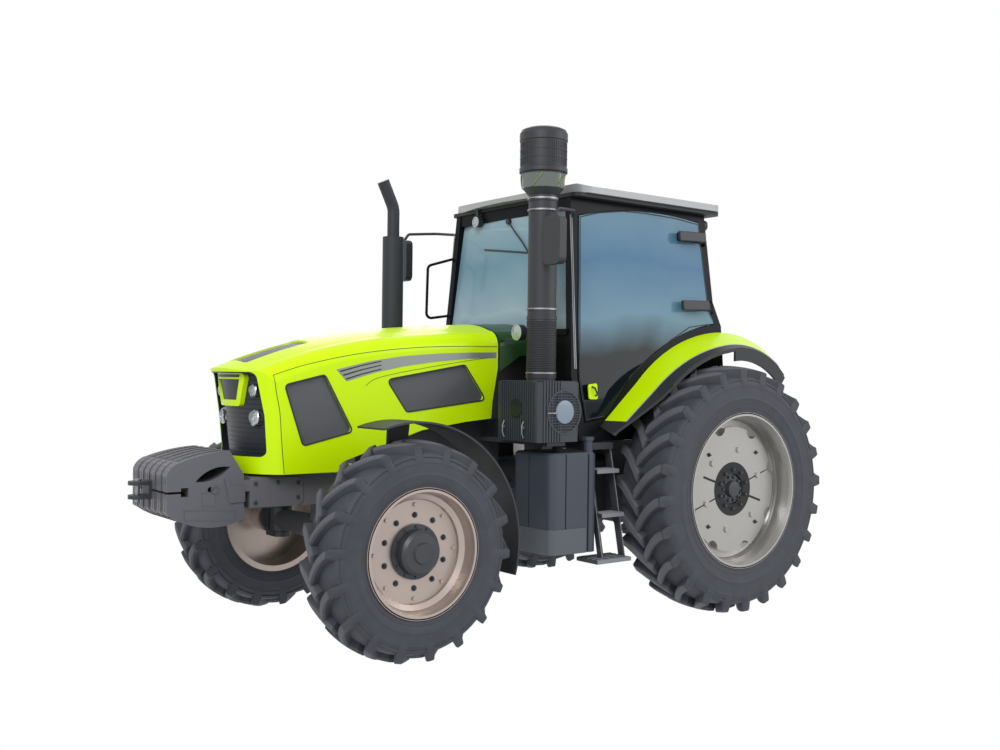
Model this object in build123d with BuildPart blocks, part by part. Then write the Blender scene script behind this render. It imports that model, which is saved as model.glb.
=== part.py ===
from build123d import *
from math import cos, pi, radians, sin, tan
import os

# Four-wheel-drive farm tractor with a cab, in millimetres.
# X runs forward, Y to the left and Z up; the origin lies on the ground under the middle of the machine.

os.makedirs("parts", exist_ok=True)

# ---------------------------------------------------------------- driving dimensions
wheelbase = 2714
rear_axle_x = -1420
front_axle_x = rear_axle_x + wheelbase

# Wheels: rim sizes are nominal 28 inch in front and 42 inch behind.
front_tyre_radius = 677
front_wheel_y = 983
front_tyre_half_width = 184
front_lug_half_width = 176
front_rim_radius = 381
front_rim_half_width = 168
front_lug_height = 36
front_lug_count = 21
rear_tyre_radius = 921
rear_wheel_y = 1105
rear_tyre_half_width = 232
rear_lug_half_width = 224
rear_rim_radius = 559
rear_rim_half_width = 212
rear_lug_height = 42
rear_lug_count = 26
shoulder_drop = 34
lug_sweep = 12
lug_root_share = 0.21
lug_tip_share = 0.165
lug_wrap = 34
crown_gap = 8
rim_wall = 24
rim_flange = 16
bead_clearance = 0.3

# Front axle and steering
kingpin_y = 750
kingpin_radius = 26
kingpin_depth = 45
seam = 0.3
pin_clearance = 0.3
boss_radius = 78
boss_half_height = 88
knuckle_gap = 6
knuckle_plate = 36
knuckle_half_length = 62
axle_tube_radius = 72
axle_casing_radius = 165
axle_casing_half_length = 150

# Front support, weights and engine
frame_half_width = 300
frame_bottom_z = 905
frame_top_z = 1098
frame_front = 730
frame_rear = -330
engine_half_width = 250
engine_bottom_z = 720
engine_top_z = 1430
engine_rear = 1470
sump_half_width = 190
sump_bottom_z = 590
weight_count = 12
weight_pitch = 50
weight_relief = 5
clevis_ear = 24
clevis_throat = 60
clevis_half_width = 55
clevis_pin_radius = 14
clevis_reach = 130
clevis_z = 1028

# Gearbox and rear axle
gearbox_half_width = 200
gearbox_bottom_z = 620
gearbox_top_z = 1120
gearbox_rear = 350
axle_box_half_width = 280
axle_box_rear = -400
axle_box_bottom_z = 600
axle_box_top_z = 1240
trumpet_inner_radius = 165
trumpet_outer_radius = 110
trumpet_end_y = 850
axle_shaft_radius = 62
pto_radius = 17.5
pto_length = 80
pto_z = 690

# Bonnet
hood_half_width = 400
hood_wall = 14
crease_drop = 170
shoulder_y = 290
shoulder_fall = 52
crown_rear_z = 2140
crown_rear_x = 1200
crown_slope = 2
crown_rear_radius = 20000
crown_rear_arc = 3.6
crown_front_radius = 3650
crown_front_arc = 34
hood_bottom_z = 1115
nose_tip = 750
nose_bulge = 180
nose_rake = 0.115
nose_corner_radius = 90
grille_recess = 76
hood_rear = 1600
cowl_gap = 16
bonnet_pivot_x = 1593
bonnet_pivot_z = 2112
cab_wall = 30

# Cab: its sides lean in, in a plane that starts at the foot line.
cab_foot_y = 840
cab_foot_z = 1400
cab_lean = 4.8
cab_front = 1245
belt_front = 1262
cab_rear = -345
cab_top_z = 3035
frame_depth = 55
door_gap = 6
door_rim = 42
door_depth = 26
glass = 6
floor_top_z = 1350
floor_thickness = 35
beltline_z = 2085

# Rear wings
fender_seam_y = 1020
fender_edge_y = 1170
fender_thickness = 24
edge_thickness = 18

# Fuel tank, boxes and ladder
tank_front = 1640
tank_rear = 1215
tank_inner_y = 630
tank_outer_y = 1050
tank_bottom_z = 545
tank_top_z = 1228
box_front = 1757
box_rear = 1372
box_inner_y = 575
box_outer_y = 1050
box_bottom_z = 1305
box_top_z = 1715
stack_x = 1489
stack_y = 750
stack_radius = 100
cleaner_radius = 168
cleaner_top_z = 3460
cleaner_height = 460
stack_top_z = cleaner_top_z - cleaner_height
bowl_height = 150

# Rear linkage
link_pivot_x = -250
link_pivot_z = 520
link_length = 980
link_pivot_y = 300
link_end_y = 410
link_height = 80
link_thickness = 26
link_ball_radius = 14.35
link_eye_radius = 42
rockshaft_x = -430
rockshaft_z = 1160
lift_arm_length = 330
lift_arm_y = 325
rockshaft_radius = 32
rod_fraction = 0.55
rod_radius = 18


# ---------------------------------------------------------------- small helpers
def fore(distance):
    """X of a place this far ahead of the rear axle."""
    return rear_axle_x + distance


def ahead(distance):
    """X of a place this far ahead of the front axle."""
    return front_axle_x + distance


def upright(y):
    """Lengthwise upright plane at Y; what is drawn on it extrudes towards the right."""
    return Plane.XZ.offset(-y)


def side_plane():
    """Outer face of the cab's left side, drawn in (X, height above the foot line)."""
    lean = radians(cab_lean)
    return Plane(
        origin=(0, cab_foot_y, cab_foot_z),
        x_dir=(1, 0, 0),
        z_dir=(0, -cos(lean), -sin(lean)),
    )


def wheel_plane(x, y, z):
    """Half plane through a wheel's axis, drawn in (distance outboard, radius)."""
    return Plane(origin=(x, y, z), x_dir=(0, 1, 0), z_dir=(1, 0, 0))


def right_hand(builder):
    """The mirrored piece for the right side."""
    with BuildPart() as other:
        mirror(builder.part, about=Plane.XZ)
    return other


def finish(builder, name):
    builder.part.label = name
    export_step(builder.part, f"parts/{name}.step")


# ---------------------------------------------------------------- wheels
def ring(x, y, z, corners, count, phase):
    """Corners round a wheel at Y: (share of the pitch, radius) for each lug, turned by the phase."""
    points = []
    for index in range(count):
        for share, radius in corners:
            angle = radians(phase) + 2 * pi * (index + share) / count
            points.append((x + radius * sin(angle), y, z + radius * cos(angle)))
    return points


def zipped(first, second):
    """Flat triangles between two rings, each side taking its turn by its own count."""
    triangles = []
    i = j = 0
    while i < len(first) or j < len(second):
        here = (first[i % len(first)], second[j % len(second)])
        if (i + 1) * len(second) <= (j + 1) * len(first):
            i += 1
            triangles.append(Face(Wire.make_polygon([*here, first[i % len(first)]])))
        else:
            j += 1
            triangles.append(Face(Wire.make_polygon([*here, second[j % len(second)]])))
    return triangles


def make_tyre(x, y, radius, half_width, lug_half, rim_radius, lug_height, lug_count):
    """Tyre as one closed shell of flats between rings of corners, from bore to bore.

    The crown and shoulder rings are toothed, with one lug to a pitch. The shoulder is turned
    back, which slants the lugs, and the two halves are half a pitch apart.
    """
    carcass = radius - lug_height
    shoulder = carcass - shoulder_drop
    bore = rim_radius + bead_clearance
    crown = radius / cos(2 * pi * lug_tip_share / lug_count)
    teeth = [
        # share of the pitch, tip or not
        (-lug_root_share, False),
        (-lug_tip_share, True),
        (lug_tip_share, True),
        (lug_root_share, False),
    ]
    crowns = {}
    bores = {}
    faces = []
    for side, phase in ((1, 0), (-1, 180 / lug_count)):
        swept = phase - lug_sweep
        crown_row = [(share, crown if tip else carcass) for share, tip in teeth]
        shoulder_row = [(share, crown - shoulder_drop if tip else shoulder) for share, tip in teeth]
        rings = [
            ring(x, y + side * crown_gap, radius, crown_row, lug_count, phase),
            ring(x, y + side * lug_half, radius, shoulder_row, lug_count, swept),
        ]
        smooth_table = [
            # distance from the middle, radius, share of the pitch either way
            (lug_half + 6, shoulder - lug_wrap, 0.2),
            (half_width, (bore + shoulder) / 2, 0.25),
            (half_width - 22, bore / cos(pi / 2 / lug_count), 0.25),
        ]
        for out, around, share in smooth_table:
            corners = [(-share, around), (share, around)]
            rings.append(ring(x, y + side * out, radius, corners, lug_count, swept))
        for inner, outer in zip(rings, rings[1:]):
            faces += zipped(inner, outer)
        crowns[side] = rings[0]
        bores[side] = rings[-1]
    # Across the middle, a tip on one half meets the gap on the other
    faces += zipped(crowns[-1], crowns[1][2:] + crowns[1][:2])
    faces += zipped(bores[-1], bores[1][1:] + bores[1][:1])
    with BuildPart() as tyre:
        add(Solid(Shell(faces)))
    return tyre


def make_rim(x, y, z, rim_radius, half_width, disc_out, disc_thickness, well_radius, shaft_radius, shaft_in):
    """Barrel with its flanges, stepped in to the wheel disc, and the shaft behind, turned as one piece."""
    inside = rim_radius - rim_wall
    flange = rim_radius + rim_flange
    with BuildPart() as rim:
        with BuildSketch(wheel_plane(x, y, z)):
            with BuildLine():
                Polyline(
                    (shaft_in, 0),
                    (shaft_in, shaft_radius),
                    (disc_out - disc_thickness, shaft_radius),
                    (disc_out - disc_thickness, inside),
                    (-half_width - 10, inside),
                    (-half_width - 10, flange),
                    (-half_width - 2, flange),
                    (-half_width - 2, rim_radius),
                    (half_width + 2, rim_radius),
                    (half_width + 2, flange),
                    (half_width + 10, flange),
                    (half_width + 10, rim_radius - 10),
                    (half_width - 14, rim_radius - 18),
                    (half_width - 44, inside),
                    (disc_out + 36, inside - 6),
                    (disc_out + 14, well_radius + 8),
                    (disc_out, well_radius),
                    (disc_out, 0),
                    close=True,
                )
            make_face()
        revolve(axis=Axis((x, y, z), (0, 1, 0)))
    return rim


def outboard(x, y, z, turn=0):
    """Plane across a wheel's axis at Y, facing outboard, with its first direction turned about it."""
    angle = radians(turn)
    return Plane(origin=(x, y, z), x_dir=(cos(angle), 0, sin(angle)), z_dir=(0, 1, 0))


def make_hub(x, y, z, profile, bolt_count, bolt_radius, bolt_size, bolt_face, bolt_length):
    """Hub turned from (distance outboard, radius), with a ring of hexagon bolts on its face."""
    with BuildPart() as hub:
        with BuildSketch(wheel_plane(x, y, z)):
            with BuildLine():
                Polyline((profile[0][0], 0), *profile, (profile[-1][0], 0), close=True)
            make_face()
        revolve(axis=Axis((x, y, z), (0, 1, 0)))
        with BuildSketch(outboard(x, y + bolt_face, z)):
            with PolarLocations(bolt_radius, bolt_count):
                RegularPolygon(bolt_size, 6)
        extrude(amount=bolt_length)
    return hub


tyre_table = [
    # name, x, y, radius, half width, lug half width, rim radius, lug height, lug count
    ("front", front_axle_x, front_wheel_y, front_tyre_radius, front_tyre_half_width, front_lug_half_width,
     front_rim_radius, front_lug_height, front_lug_count),
    ("rear", rear_axle_x, rear_wheel_y, rear_tyre_radius, rear_tyre_half_width, rear_lug_half_width,
     rear_rim_radius, rear_lug_height, rear_lug_count),
]
for name, *sizes in tyre_table:
    tyre = make_tyre(*sizes)
    finish(tyre, f"tyre_{name}_left")
    finish(right_hand(tyre), f"tyre_{name}_right")

hub_face_y = kingpin_y + boss_radius + knuckle_gap + 66
front_disc = 62
front_ring_radius = 285
with BuildPart() as front_rim:
    add(make_rim(
        front_axle_x, front_wheel_y, front_tyre_radius, front_rim_radius, front_rim_half_width,
        disc_out=front_disc, disc_thickness=16, well_radius=front_ring_radius + 28,
        shaft_radius=118, shaft_in=hub_face_y + seam - front_wheel_y,
    ).part)
    # Bolts that hold the disc to the rim's lugs
    with BuildSketch(outboard(front_axle_x, front_wheel_y + front_disc, front_tyre_radius)):
        with PolarLocations(front_ring_radius, 8):
            RegularPolygon(13, 6)
    extrude(amount=12)
finish(front_rim, "rim_front_left")
finish(right_hand(front_rim), "rim_front_right")

front_hub = make_hub(
    front_axle_x, front_wheel_y, front_tyre_radius,
    profile=[
        (front_disc, 168), (front_disc + 20, 168), (front_disc + 22, 140), (front_disc + 74, 136),
        (front_disc + 92, 118), (front_disc + 96, 66), (front_disc + 108, 60), (front_disc + 108, 22),
    ],
    bolt_count=12, bolt_radius=154, bolt_size=9, bolt_face=front_disc + 20, bolt_length=9,
)
finish(front_hub, "hub_front_left")
finish(right_hand(front_hub), "hub_front_right")

# Rear wheels carry a cast weight in two halves, scalloped round its edge
rear_disc = 56
wheel_weight_depth = 44
wheel_weight_radius = 462
wheel_weight_bore = 158
wheel_weight_split = 10
wheel_weight_tilt = 72
scallop_count = 8
scallop_radius = 58
with BuildPart() as rear_rim:
    add(make_rim(
        rear_axle_x, rear_wheel_y, rear_tyre_radius, rear_rim_radius, rear_rim_half_width,
        disc_out=rear_disc, disc_thickness=24, well_radius=rear_rim_radius - 46,
        shaft_radius=axle_shaft_radius, shaft_in=trumpet_end_y + seam - rear_wheel_y,
    ).part)
    with BuildSketch(outboard(rear_axle_x, rear_wheel_y + rear_disc, rear_tyre_radius, wheel_weight_tilt)):
        Circle(wheel_weight_radius)
        with PolarLocations(wheel_weight_radius + 16, scallop_count):
            Circle(scallop_radius, mode=Mode.SUBTRACT)
        Circle(wheel_weight_bore, mode=Mode.SUBTRACT)
        Rectangle(wheel_weight_split, 2 * wheel_weight_radius, mode=Mode.SUBTRACT)
    extrude(amount=wheel_weight_depth)
    with BuildSketch(
        outboard(rear_axle_x, rear_wheel_y + rear_disc + wheel_weight_depth, rear_tyre_radius, wheel_weight_tilt)
    ):
        with PolarLocations(300, 6, start_angle=30):
            RegularPolygon(26, 6)
    extrude(amount=12)
finish(rear_rim, "rim_rear_left")
finish(right_hand(rear_rim), "rim_rear_right")

rear_hub = make_hub(
    rear_axle_x, rear_wheel_y, rear_tyre_radius,
    profile=[
        (rear_disc, 112), (rear_disc + 30, 112), (rear_disc + 32, 64), (rear_disc + 62, 58), (rear_disc + 66, 30),
    ],
    bolt_count=10, bolt_radius=90, bolt_size=12, bolt_face=rear_disc + 30, bolt_length=14,
)
finish(rear_hub, "hub_rear_left")
finish(right_hand(rear_hub), "hub_rear_right")

# ---------------------------------------------------------------- front axle and knuckles
axle_z = front_tyre_radius
with BuildPart() as front_axle:
    with BuildSketch(wheel_plane(front_axle_x, 0, axle_z)):
        with BuildLine():
            Polyline(
                (-kingpin_y, 0),
                (-kingpin_y, axle_tube_radius),
                (-axle_casing_half_length - 90, axle_tube_radius + 14),
                (-axle_casing_half_length, axle_casing_radius - 30),
                (axle_casing_half_length, axle_casing_radius - 30),
                (axle_casing_half_length + 90, axle_tube_radius + 14),
                (kingpin_y, axle_tube_radius),
                (kingpin_y, 0),
                close=True,
            )
        make_face()
    revolve(axis=Axis((front_axle_x, 0, axle_z), (0, 1, 0)))
    with Locations((front_axle_x, kingpin_y, axle_z), (front_axle_x, -kingpin_y, axle_z)):
        Cylinder(boss_radius, 2 * boss_half_height)
        Cylinder(kingpin_radius + pin_clearance, 2 * boss_half_height, mode=Mode.SUBTRACT)
    # Trunnion block under the front support
    with BuildSketch(Plane.XY.offset(axle_z + 60)):
        with Locations((front_axle_x, 0)):
            Rectangle(230, 150)
    extrude(amount=frame_bottom_z - axle_z - 60)
finish(front_axle, "front_axle")

plate_inner = boss_half_height + knuckle_gap
plate_outer = plate_inner + knuckle_plate
web_y = kingpin_y + boss_radius + knuckle_gap
with BuildPart() as knuckle:
    with BuildSketch(upright(web_y + 36)):
        with Locations((front_axle_x, axle_z)):
            Rectangle(2 * knuckle_half_length, 2 * plate_outer)
    extrude(amount=36)
    with BuildSketch(Plane.XY.offset(axle_z + plate_inner), Plane.XY.offset(axle_z - plate_outer)):
        with Locations((front_axle_x, kingpin_y)):
            Circle(knuckle_half_length)
        with Locations((front_axle_x, (kingpin_y + web_y + 36) / 2)):
            Rectangle(2 * knuckle_half_length, web_y + 36 - kingpin_y)
    extrude(amount=knuckle_plate)
    with Locations(
        (front_axle_x, kingpin_y, axle_z + plate_inner - kingpin_depth / 2),
        (front_axle_x, kingpin_y, axle_z - plate_inner + kingpin_depth / 2),
    ):
        Cylinder(kingpin_radius, kingpin_depth)
    with BuildSketch(Plane(origin=(front_axle_x, web_y + 36, axle_z), x_dir=(1, 0, 0), z_dir=(0, 1, 0))):
        Circle(104)
    extrude(amount=hub_face_y - web_y - 36)
finish(knuckle, "knuckle_left")
finish(right_hand(knuckle), "knuckle_right")

# Front mudguard: an arched strip that turns with its knuckle, on a stay beside the tyre
guard_radius = front_tyre_radius + 100
guard_thickness = 12
guard_inner_y = kingpin_y + 14
guard_outer_y = front_wheel_y + 100
guard_start = 72
guard_end = 196
stay_thickness = 14
with BuildPart() as front_fender:
    with BuildSketch(upright(guard_outer_y)):
        with BuildLine():
            outer = CenterArc((front_axle_x, axle_z), guard_radius + guard_thickness, guard_start, guard_end - guard_start)
            inner = CenterArc((front_axle_x, axle_z), guard_radius, guard_start, guard_end - guard_start)
            Line(outer @ 0, inner @ 0)
            Line(outer @ 1, inner @ 1)
        make_face()
    extrude(amount=guard_outer_y - guard_inner_y)
    with BuildSketch(upright(guard_inner_y + stay_thickness)):
        with BuildLine():
            Polyline(
                (front_axle_x - 60, axle_z + plate_outer),
                (front_axle_x + 60, axle_z + plate_outer),
                (front_axle_x + 30, axle_z + guard_radius + 4),
                (front_axle_x - 130, axle_z + guard_radius - 10),
                close=True,
            )
        make_face()
    extrude(amount=stay_thickness)
    with Locations((front_axle_x, guard_inner_y, axle_z + plate_outer + 6)):
        Box(120, 60, 12)
finish(front_fender, "front_fender_left")
finish(right_hand(front_fender), "front_fender_right")

# ---------------------------------------------------------------- front support and weights
with BuildPart() as front_bracket:
    with BuildSketch(Plane.XZ):
        with BuildLine():
            Polyline(
                (ahead(frame_rear), frame_bottom_z),
                (ahead(frame_front), frame_bottom_z),
                (ahead(frame_front), frame_top_z),
                (ahead(frame_rear), frame_top_z),
                close=True,
            )
        make_face()
    extrude(amount=frame_half_width, both=True)
    # Rail that the weights hang on
    with Locations((ahead(frame_front + 20), 0, frame_top_z - 50)):
        Box(40, weight_count * weight_pitch, 70)
finish(front_bracket, "front_bracket")

weight_x = ahead(frame_front + 40)


weight_reach = 486
weight_front_top = 1135
slot_x = 200
slot_z = 1120


def weight_outline(relief):
    """Side outline of one weight, drawn in by its relief."""
    with BuildSketch(Plane.XZ, mode=Mode.PRIVATE) as outline:
        with BuildLine():
            Polyline(
                (weight_x + 95, 1270 - relief),
                (weight_x, frame_top_z + 20),
                (weight_x, frame_top_z - 150),
                (weight_x - 14, 850 + relief),
            )
            ThreePointArc(
                (weight_x - 14, 850 + relief),
                (weight_x + 181, 806 + relief),
                (weight_x + weight_reach - 60, 866 + relief),
            )
            Polyline(
                (weight_x + weight_reach - 60, 866 + relief),
                (weight_x + weight_reach - relief, 905),
                (weight_x + weight_reach - relief, weight_front_top),
            )
            ThreePointArc(
                (weight_x + weight_reach - relief, weight_front_top),
                (weight_x + weight_reach - 26 - relief, weight_front_top + 42),
                (weight_x + weight_reach - 86 - relief, weight_front_top + 74),
            )
            ThreePointArc(
                (weight_x + weight_reach - 86 - relief, weight_front_top + 74),
                (weight_x + 250, 1252 - relief),
                (weight_x + 95, 1270 - relief),
            )
        make_face()
    return outline.sketch


with BuildPart() as front_weights:
    for index in range(weight_count):
        edge = (weight_count / 2 - index) * weight_pitch
        with BuildSketch(upright(edge)):
            add(weight_outline(weight_relief if index % 2 else 0))
        extrude(amount=weight_pitch)
    # Hand slot, pin hole and the keyed slot for the towing clevis, through the whole stack
    with BuildSketch(upright(weight_count / 2 * weight_pitch)):
        with BuildLine():
            ThreePointArc((weight_x + slot_x - 110, slot_z + 50), (weight_x + slot_x - 10, slot_z + 46),
                          (weight_x + slot_x + 110, slot_z - 32))
            ThreePointArc((weight_x + slot_x + 110, slot_z - 32), (weight_x + slot_x + 14, slot_z - 28),
                          (weight_x + slot_x - 110, slot_z + 50))
        make_face()
        with Locations((weight_x + slot_x + 16, slot_z - 84)):
            Circle(18)
        with Locations((weight_x + weight_reach - 50, clevis_z)):
            Rectangle(140, 14)
        with Locations((weight_x + weight_reach - 110, clevis_z)):
            Rectangle(46, 54)
    extrude(amount=weight_count * weight_pitch, mode=Mode.SUBTRACT)
finish(front_weights, "front_weights")

# Towing clevis on the middle weight, with its drop pin
clevis_x = weight_x + weight_reach - weight_relief
with BuildPart() as tow_clevis:
    with BuildSketch(Plane.XY.offset(clevis_z + clevis_throat / 2), Plane.XY.offset(clevis_z - clevis_throat / 2 - clevis_ear)):
        with BuildLine():
            Polyline(
                (clevis_x + clevis_reach - clevis_half_width, clevis_half_width),
                (clevis_x, clevis_half_width),
                (clevis_x, -clevis_half_width),
                (clevis_x + clevis_reach - clevis_half_width, -clevis_half_width),
            )
            ThreePointArc(
                (clevis_x + clevis_reach - clevis_half_width, -clevis_half_width),
                (clevis_x + clevis_reach, 0),
                (clevis_x + clevis_reach - clevis_half_width, clevis_half_width),
            )
        make_face()
        with Locations((clevis_x + clevis_reach - clevis_half_width, 0)):
            Circle(clevis_pin_radius + pin_clearance, mode=Mode.SUBTRACT)
    extrude(amount=clevis_ear)
    with Locations((clevis_x + 12, 0, clevis_z)):
        Box(24, 2 * clevis_half_width, clevis_throat + 2 * clevis_ear)
    add(front_weights.part, mode=Mode.SUBTRACT)
finish(tow_clevis, "tow_clevis")

with BuildPart() as tow_pin:
    pin_top = clevis_z + clevis_throat / 2 + clevis_ear
    with BuildSketch(Plane.XY.offset(pin_top)):
        with Locations((clevis_x + clevis_reach - clevis_half_width, 0)):
            Circle(clevis_pin_radius + 9)
    extrude(amount=12)
    with BuildSketch(Plane.XY.offset(pin_top - 2 * clevis_ear - clevis_throat - 20)):
        with Locations((clevis_x + clevis_reach - clevis_half_width, 0)):
            Circle(clevis_pin_radius)
    extrude(amount=2 * clevis_ear + clevis_throat + 20)
finish(tow_pin, "tow_pin")

# ---------------------------------------------------------------- engine, gearbox and rear axle
with BuildPart() as engine_block:
    with BuildSketch(Plane.YZ.offset(fore(engine_rear))):
        with BuildLine():
            Polyline(
                (-sump_half_width, sump_bottom_z),
                (sump_half_width, sump_bottom_z),
                (sump_half_width, engine_bottom_z),
                (engine_half_width, engine_bottom_z),
                (engine_half_width, engine_top_z),
                (-engine_half_width, engine_top_z),
                (-engine_half_width, engine_bottom_z),
                (-sump_half_width, engine_bottom_z),
                close=True,
            )
        make_face()
    extrude(amount=ahead(frame_rear) - fore(engine_rear))
finish(engine_block, "engine_block")

with BuildPart() as transmission:
    with BuildSketch(Plane.YZ.offset(fore(gearbox_rear))):
        with Locations((0, (gearbox_bottom_z + gearbox_top_z) / 2)):
            RectangleRounded(2 * gearbox_half_width, gearbox_top_z - gearbox_bottom_z, 60)
    extrude(amount=engine_rear - gearbox_rear)
    with BuildSketch(Plane.YZ.offset(fore(axle_box_rear))):
        with Locations((0, (axle_box_bottom_z + axle_box_top_z) / 2)):
            Rectangle(2 * axle_box_half_width, axle_box_top_z - axle_box_bottom_z)
    extrude(amount=gearbox_rear - axle_box_rear)
    with BuildSketch(Plane.YZ.offset(fore(axle_box_rear - 20))):
        with Locations((0, pto_z)):
            Circle(70)
    extrude(amount=20)
    with BuildSketch(Plane.YZ.offset(fore(axle_box_rear - 20 - pto_length))):
        with Locations((0, pto_z)):
            Circle(pto_radius)
    extrude(amount=pto_length)
    # Rockshaft stubs of the lift, just behind the housing
    with Locations((fore(rockshaft_x), 0, rockshaft_z)):
        Box(2 * (axle_box_rear - rockshaft_x) + 60, 2 * axle_box_half_width, 110)
    with BuildSketch(Plane(origin=(fore(rockshaft_x), -lift_arm_y - 22, rockshaft_z), x_dir=(1, 0, 0), z_dir=(0, 1, 0))):
        Circle(rockshaft_radius)
    extrude(amount=2 * (lift_arm_y + 22))
finish(transmission, "transmission")

with BuildPart() as rear_axle:
    for side in (1, -1):
        with BuildSketch(wheel_plane(rear_axle_x, 0, rear_tyre_radius)):
            with BuildLine():
                Polyline(
                    (side * axle_box_half_width, 0),
                    (side * axle_box_half_width, trumpet_inner_radius),
                    (side * (trumpet_end_y - 60), trumpet_outer_radius),
                    (side * trumpet_end_y, trumpet_outer_radius),
                    (side * trumpet_end_y, 0),
                    close=True,
                )
            make_face()
    revolve(axis=Axis((rear_axle_x, 0, rear_tyre_radius), (0, 1, 0)))
finish(rear_axle, "rear_axle")

# ---------------------------------------------------------------- bonnet, cowl and grille
hood_depth = 1250
hinge_width = 21
hinge_radius = 8.5
hinge_pin = 4


def nose_block(inset, setback):
    """All that lies behind the raked and rounded nose, drawn in by the inset and set back along X."""
    half = hood_half_width - inset
    front = ahead(nose_tip - nose_bulge) - inset - setback
    with BuildPart() as block:
        with BuildSketch(Plane.XY.offset(hood_bottom_z - inset)) as plan:
            with BuildLine():
                Polyline((front, half), (fore(800), half), (fore(800), -half), (front, -half))
                ThreePointArc((front, -half), (front + nose_bulge, 0), (front, half))
            make_face()
            fillet(plan.vertices().group_by(Axis.X)[-1], nose_corner_radius - inset)
        extrude(amount=1300, dir=(nose_rake, 0, 1))
    return block.part


def hood_body(inset):
    """The bonnet and cowl as one full body, with every face drawn in by the inset."""
    half = hood_half_width - inset
    with BuildPart() as body:
        with BuildLine(Plane.XZ) as path:
            slope = radians(crown_slope)
            rear = JernArc(
                (fore(crown_rear_x), crown_rear_z), (cos(slope), -sin(slope)), crown_rear_radius, -crown_rear_arc
            )
            JernArc(rear @ 1, rear % 1, crown_front_radius, -crown_front_arc)
        with BuildSketch(Plane(origin=path.line @ 0, x_dir=(0, 1, 0), z_dir=path.line % 0)):
            with BuildLine():
                Polyline(
                    (half, -crease_drop),
                    (half, -hood_depth - inset),
                    (-half, -hood_depth - inset),
                    (-half, -crease_drop),
                )
                for side in (1, -1):
                    ThreePointArc(
                        (side * half, -crease_drop),
                        (side * (half - 32), -crease_drop + 82),
                        (side * (shoulder_y - inset / 2), -shoulder_fall - inset),
                    )
                ThreePointArc(
                    (shoulder_y - inset / 2, -shoulder_fall - inset),
                    (0, -inset),
                    (-shoulder_y + inset / 2, -shoulder_fall - inset),
                )
            make_face()
        sweep(path=path.line, transition=Transition.TRANSFORMED)
        add(nose_block(inset, 0), mode=Mode.INTERSECT)
    return body.part



bonnet_sill = [
    # X, Z of the bonnet's lower edge, from the nose back
    (ahead(116), hood_bottom_z - 60),
    (ahead(116), 1186),
    (ahead(-474), 1370),
    (fore(1880), 1420),
    (fore(hood_rear - 100), 1455),
    (fore(hood_rear - 600), 1455),
    (fore(hood_rear - 600), hood_bottom_z - 60),
]
bonnet_tail = [
    (fore(hood_rear), crown_rear_z + 40),
    (fore(hood_rear), 1800),
    (fore(hood_rear + 45), 1560),
    (fore(hood_rear + 60), 1380),
    (fore(hood_rear - 600), 1380),
    (fore(hood_rear - 600), crown_rear_z + 40),
]
side_vents = [
    # corners of one vent as X, Z
    [(ahead(551), 1673), (ahead(271), 1739), (ahead(63), 1372), (ahead(421), 1290)],
    [(fore(2525), 1711), (fore(1890), 1818), (fore(1705), 1572), (fore(2365), 1494)],
]
vent_corner = 30
vent_lap = 16
vent_sheet = 6
top_vent_rear = 2975
top_vent_front = 3425
top_vent_half_width = 165
grille_outline = [
    # Y, Z of the opening's left corners, from the top
    (326, 1752),
    (350, 1480),
    (342, 1222),
]
grille_corner = 45
grille_wall = 8
grille_sheet = 10
badge_top_half = 215
badge_bottom_half = 140
badge_bottom_z = 1535
badge_depth = 30
badge_frame = 38
badge_pocket = 14


def grille_opening(shrink):
    """Outline of the opening in the nose, drawn in on every side."""
    right = [(-y, z) for y, z in reversed(grille_outline)]
    with BuildSketch(Plane.YZ.offset(ahead(420)), mode=Mode.PRIVATE) as opening:
        with BuildLine():
            Polyline(*grille_outline, *right, close=True)
        make_face()
        fillet(opening.vertices().group_by(Axis.Z)[0] + opening.vertices().group_by(Axis.Z)[-1], grille_corner)
        if shrink:
            offset(amount=-shrink)
    return opening.sketch


def badge_outline(shrink):
    """The tapered plate that hangs from the top of the opening."""
    top_z = grille_outline[0][1] - seam - grille_wall - seam
    with BuildSketch(Plane.YZ.offset(ahead(420)), mode=Mode.PRIVATE) as badge:
        with BuildLine():
            Polyline(
                (badge_top_half, top_z),
                (-badge_top_half, top_z),
                (-badge_bottom_half, badge_bottom_z),
                (badge_bottom_half, badge_bottom_z),
                close=True,
            )
        make_face()
        fillet(badge.vertices().group_by(Axis.Z)[0], 26)
        if shrink:
            offset(amount=-shrink)
    return badge.sketch


def vent_panels(grow):
    """Outlines of the side vents, in the middle plane."""
    with BuildSketch(Plane.XZ, mode=Mode.PRIVATE) as panels:
        for corners in side_vents:
            with BuildLine():
                Polyline(*corners, close=True)
            make_face()
        fillet(panels.vertices(), vent_corner)
        if grow:
            offset(amount=grow)
    return panels.sketch


def top_vent(grow):
    """Outline of the air intake in the bonnet's crown, drawn level below it."""
    with BuildSketch(Plane.XY.offset(crown_rear_z - 350), mode=Mode.PRIVATE) as vent:
        with Locations((fore((top_vent_rear + top_vent_front) / 2), 0)):
            RectangleRounded(
                top_vent_front - top_vent_rear + 2 * grow, 2 * (top_vent_half_width + grow), vent_corner + grow
            )
    return vent.sketch


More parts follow.
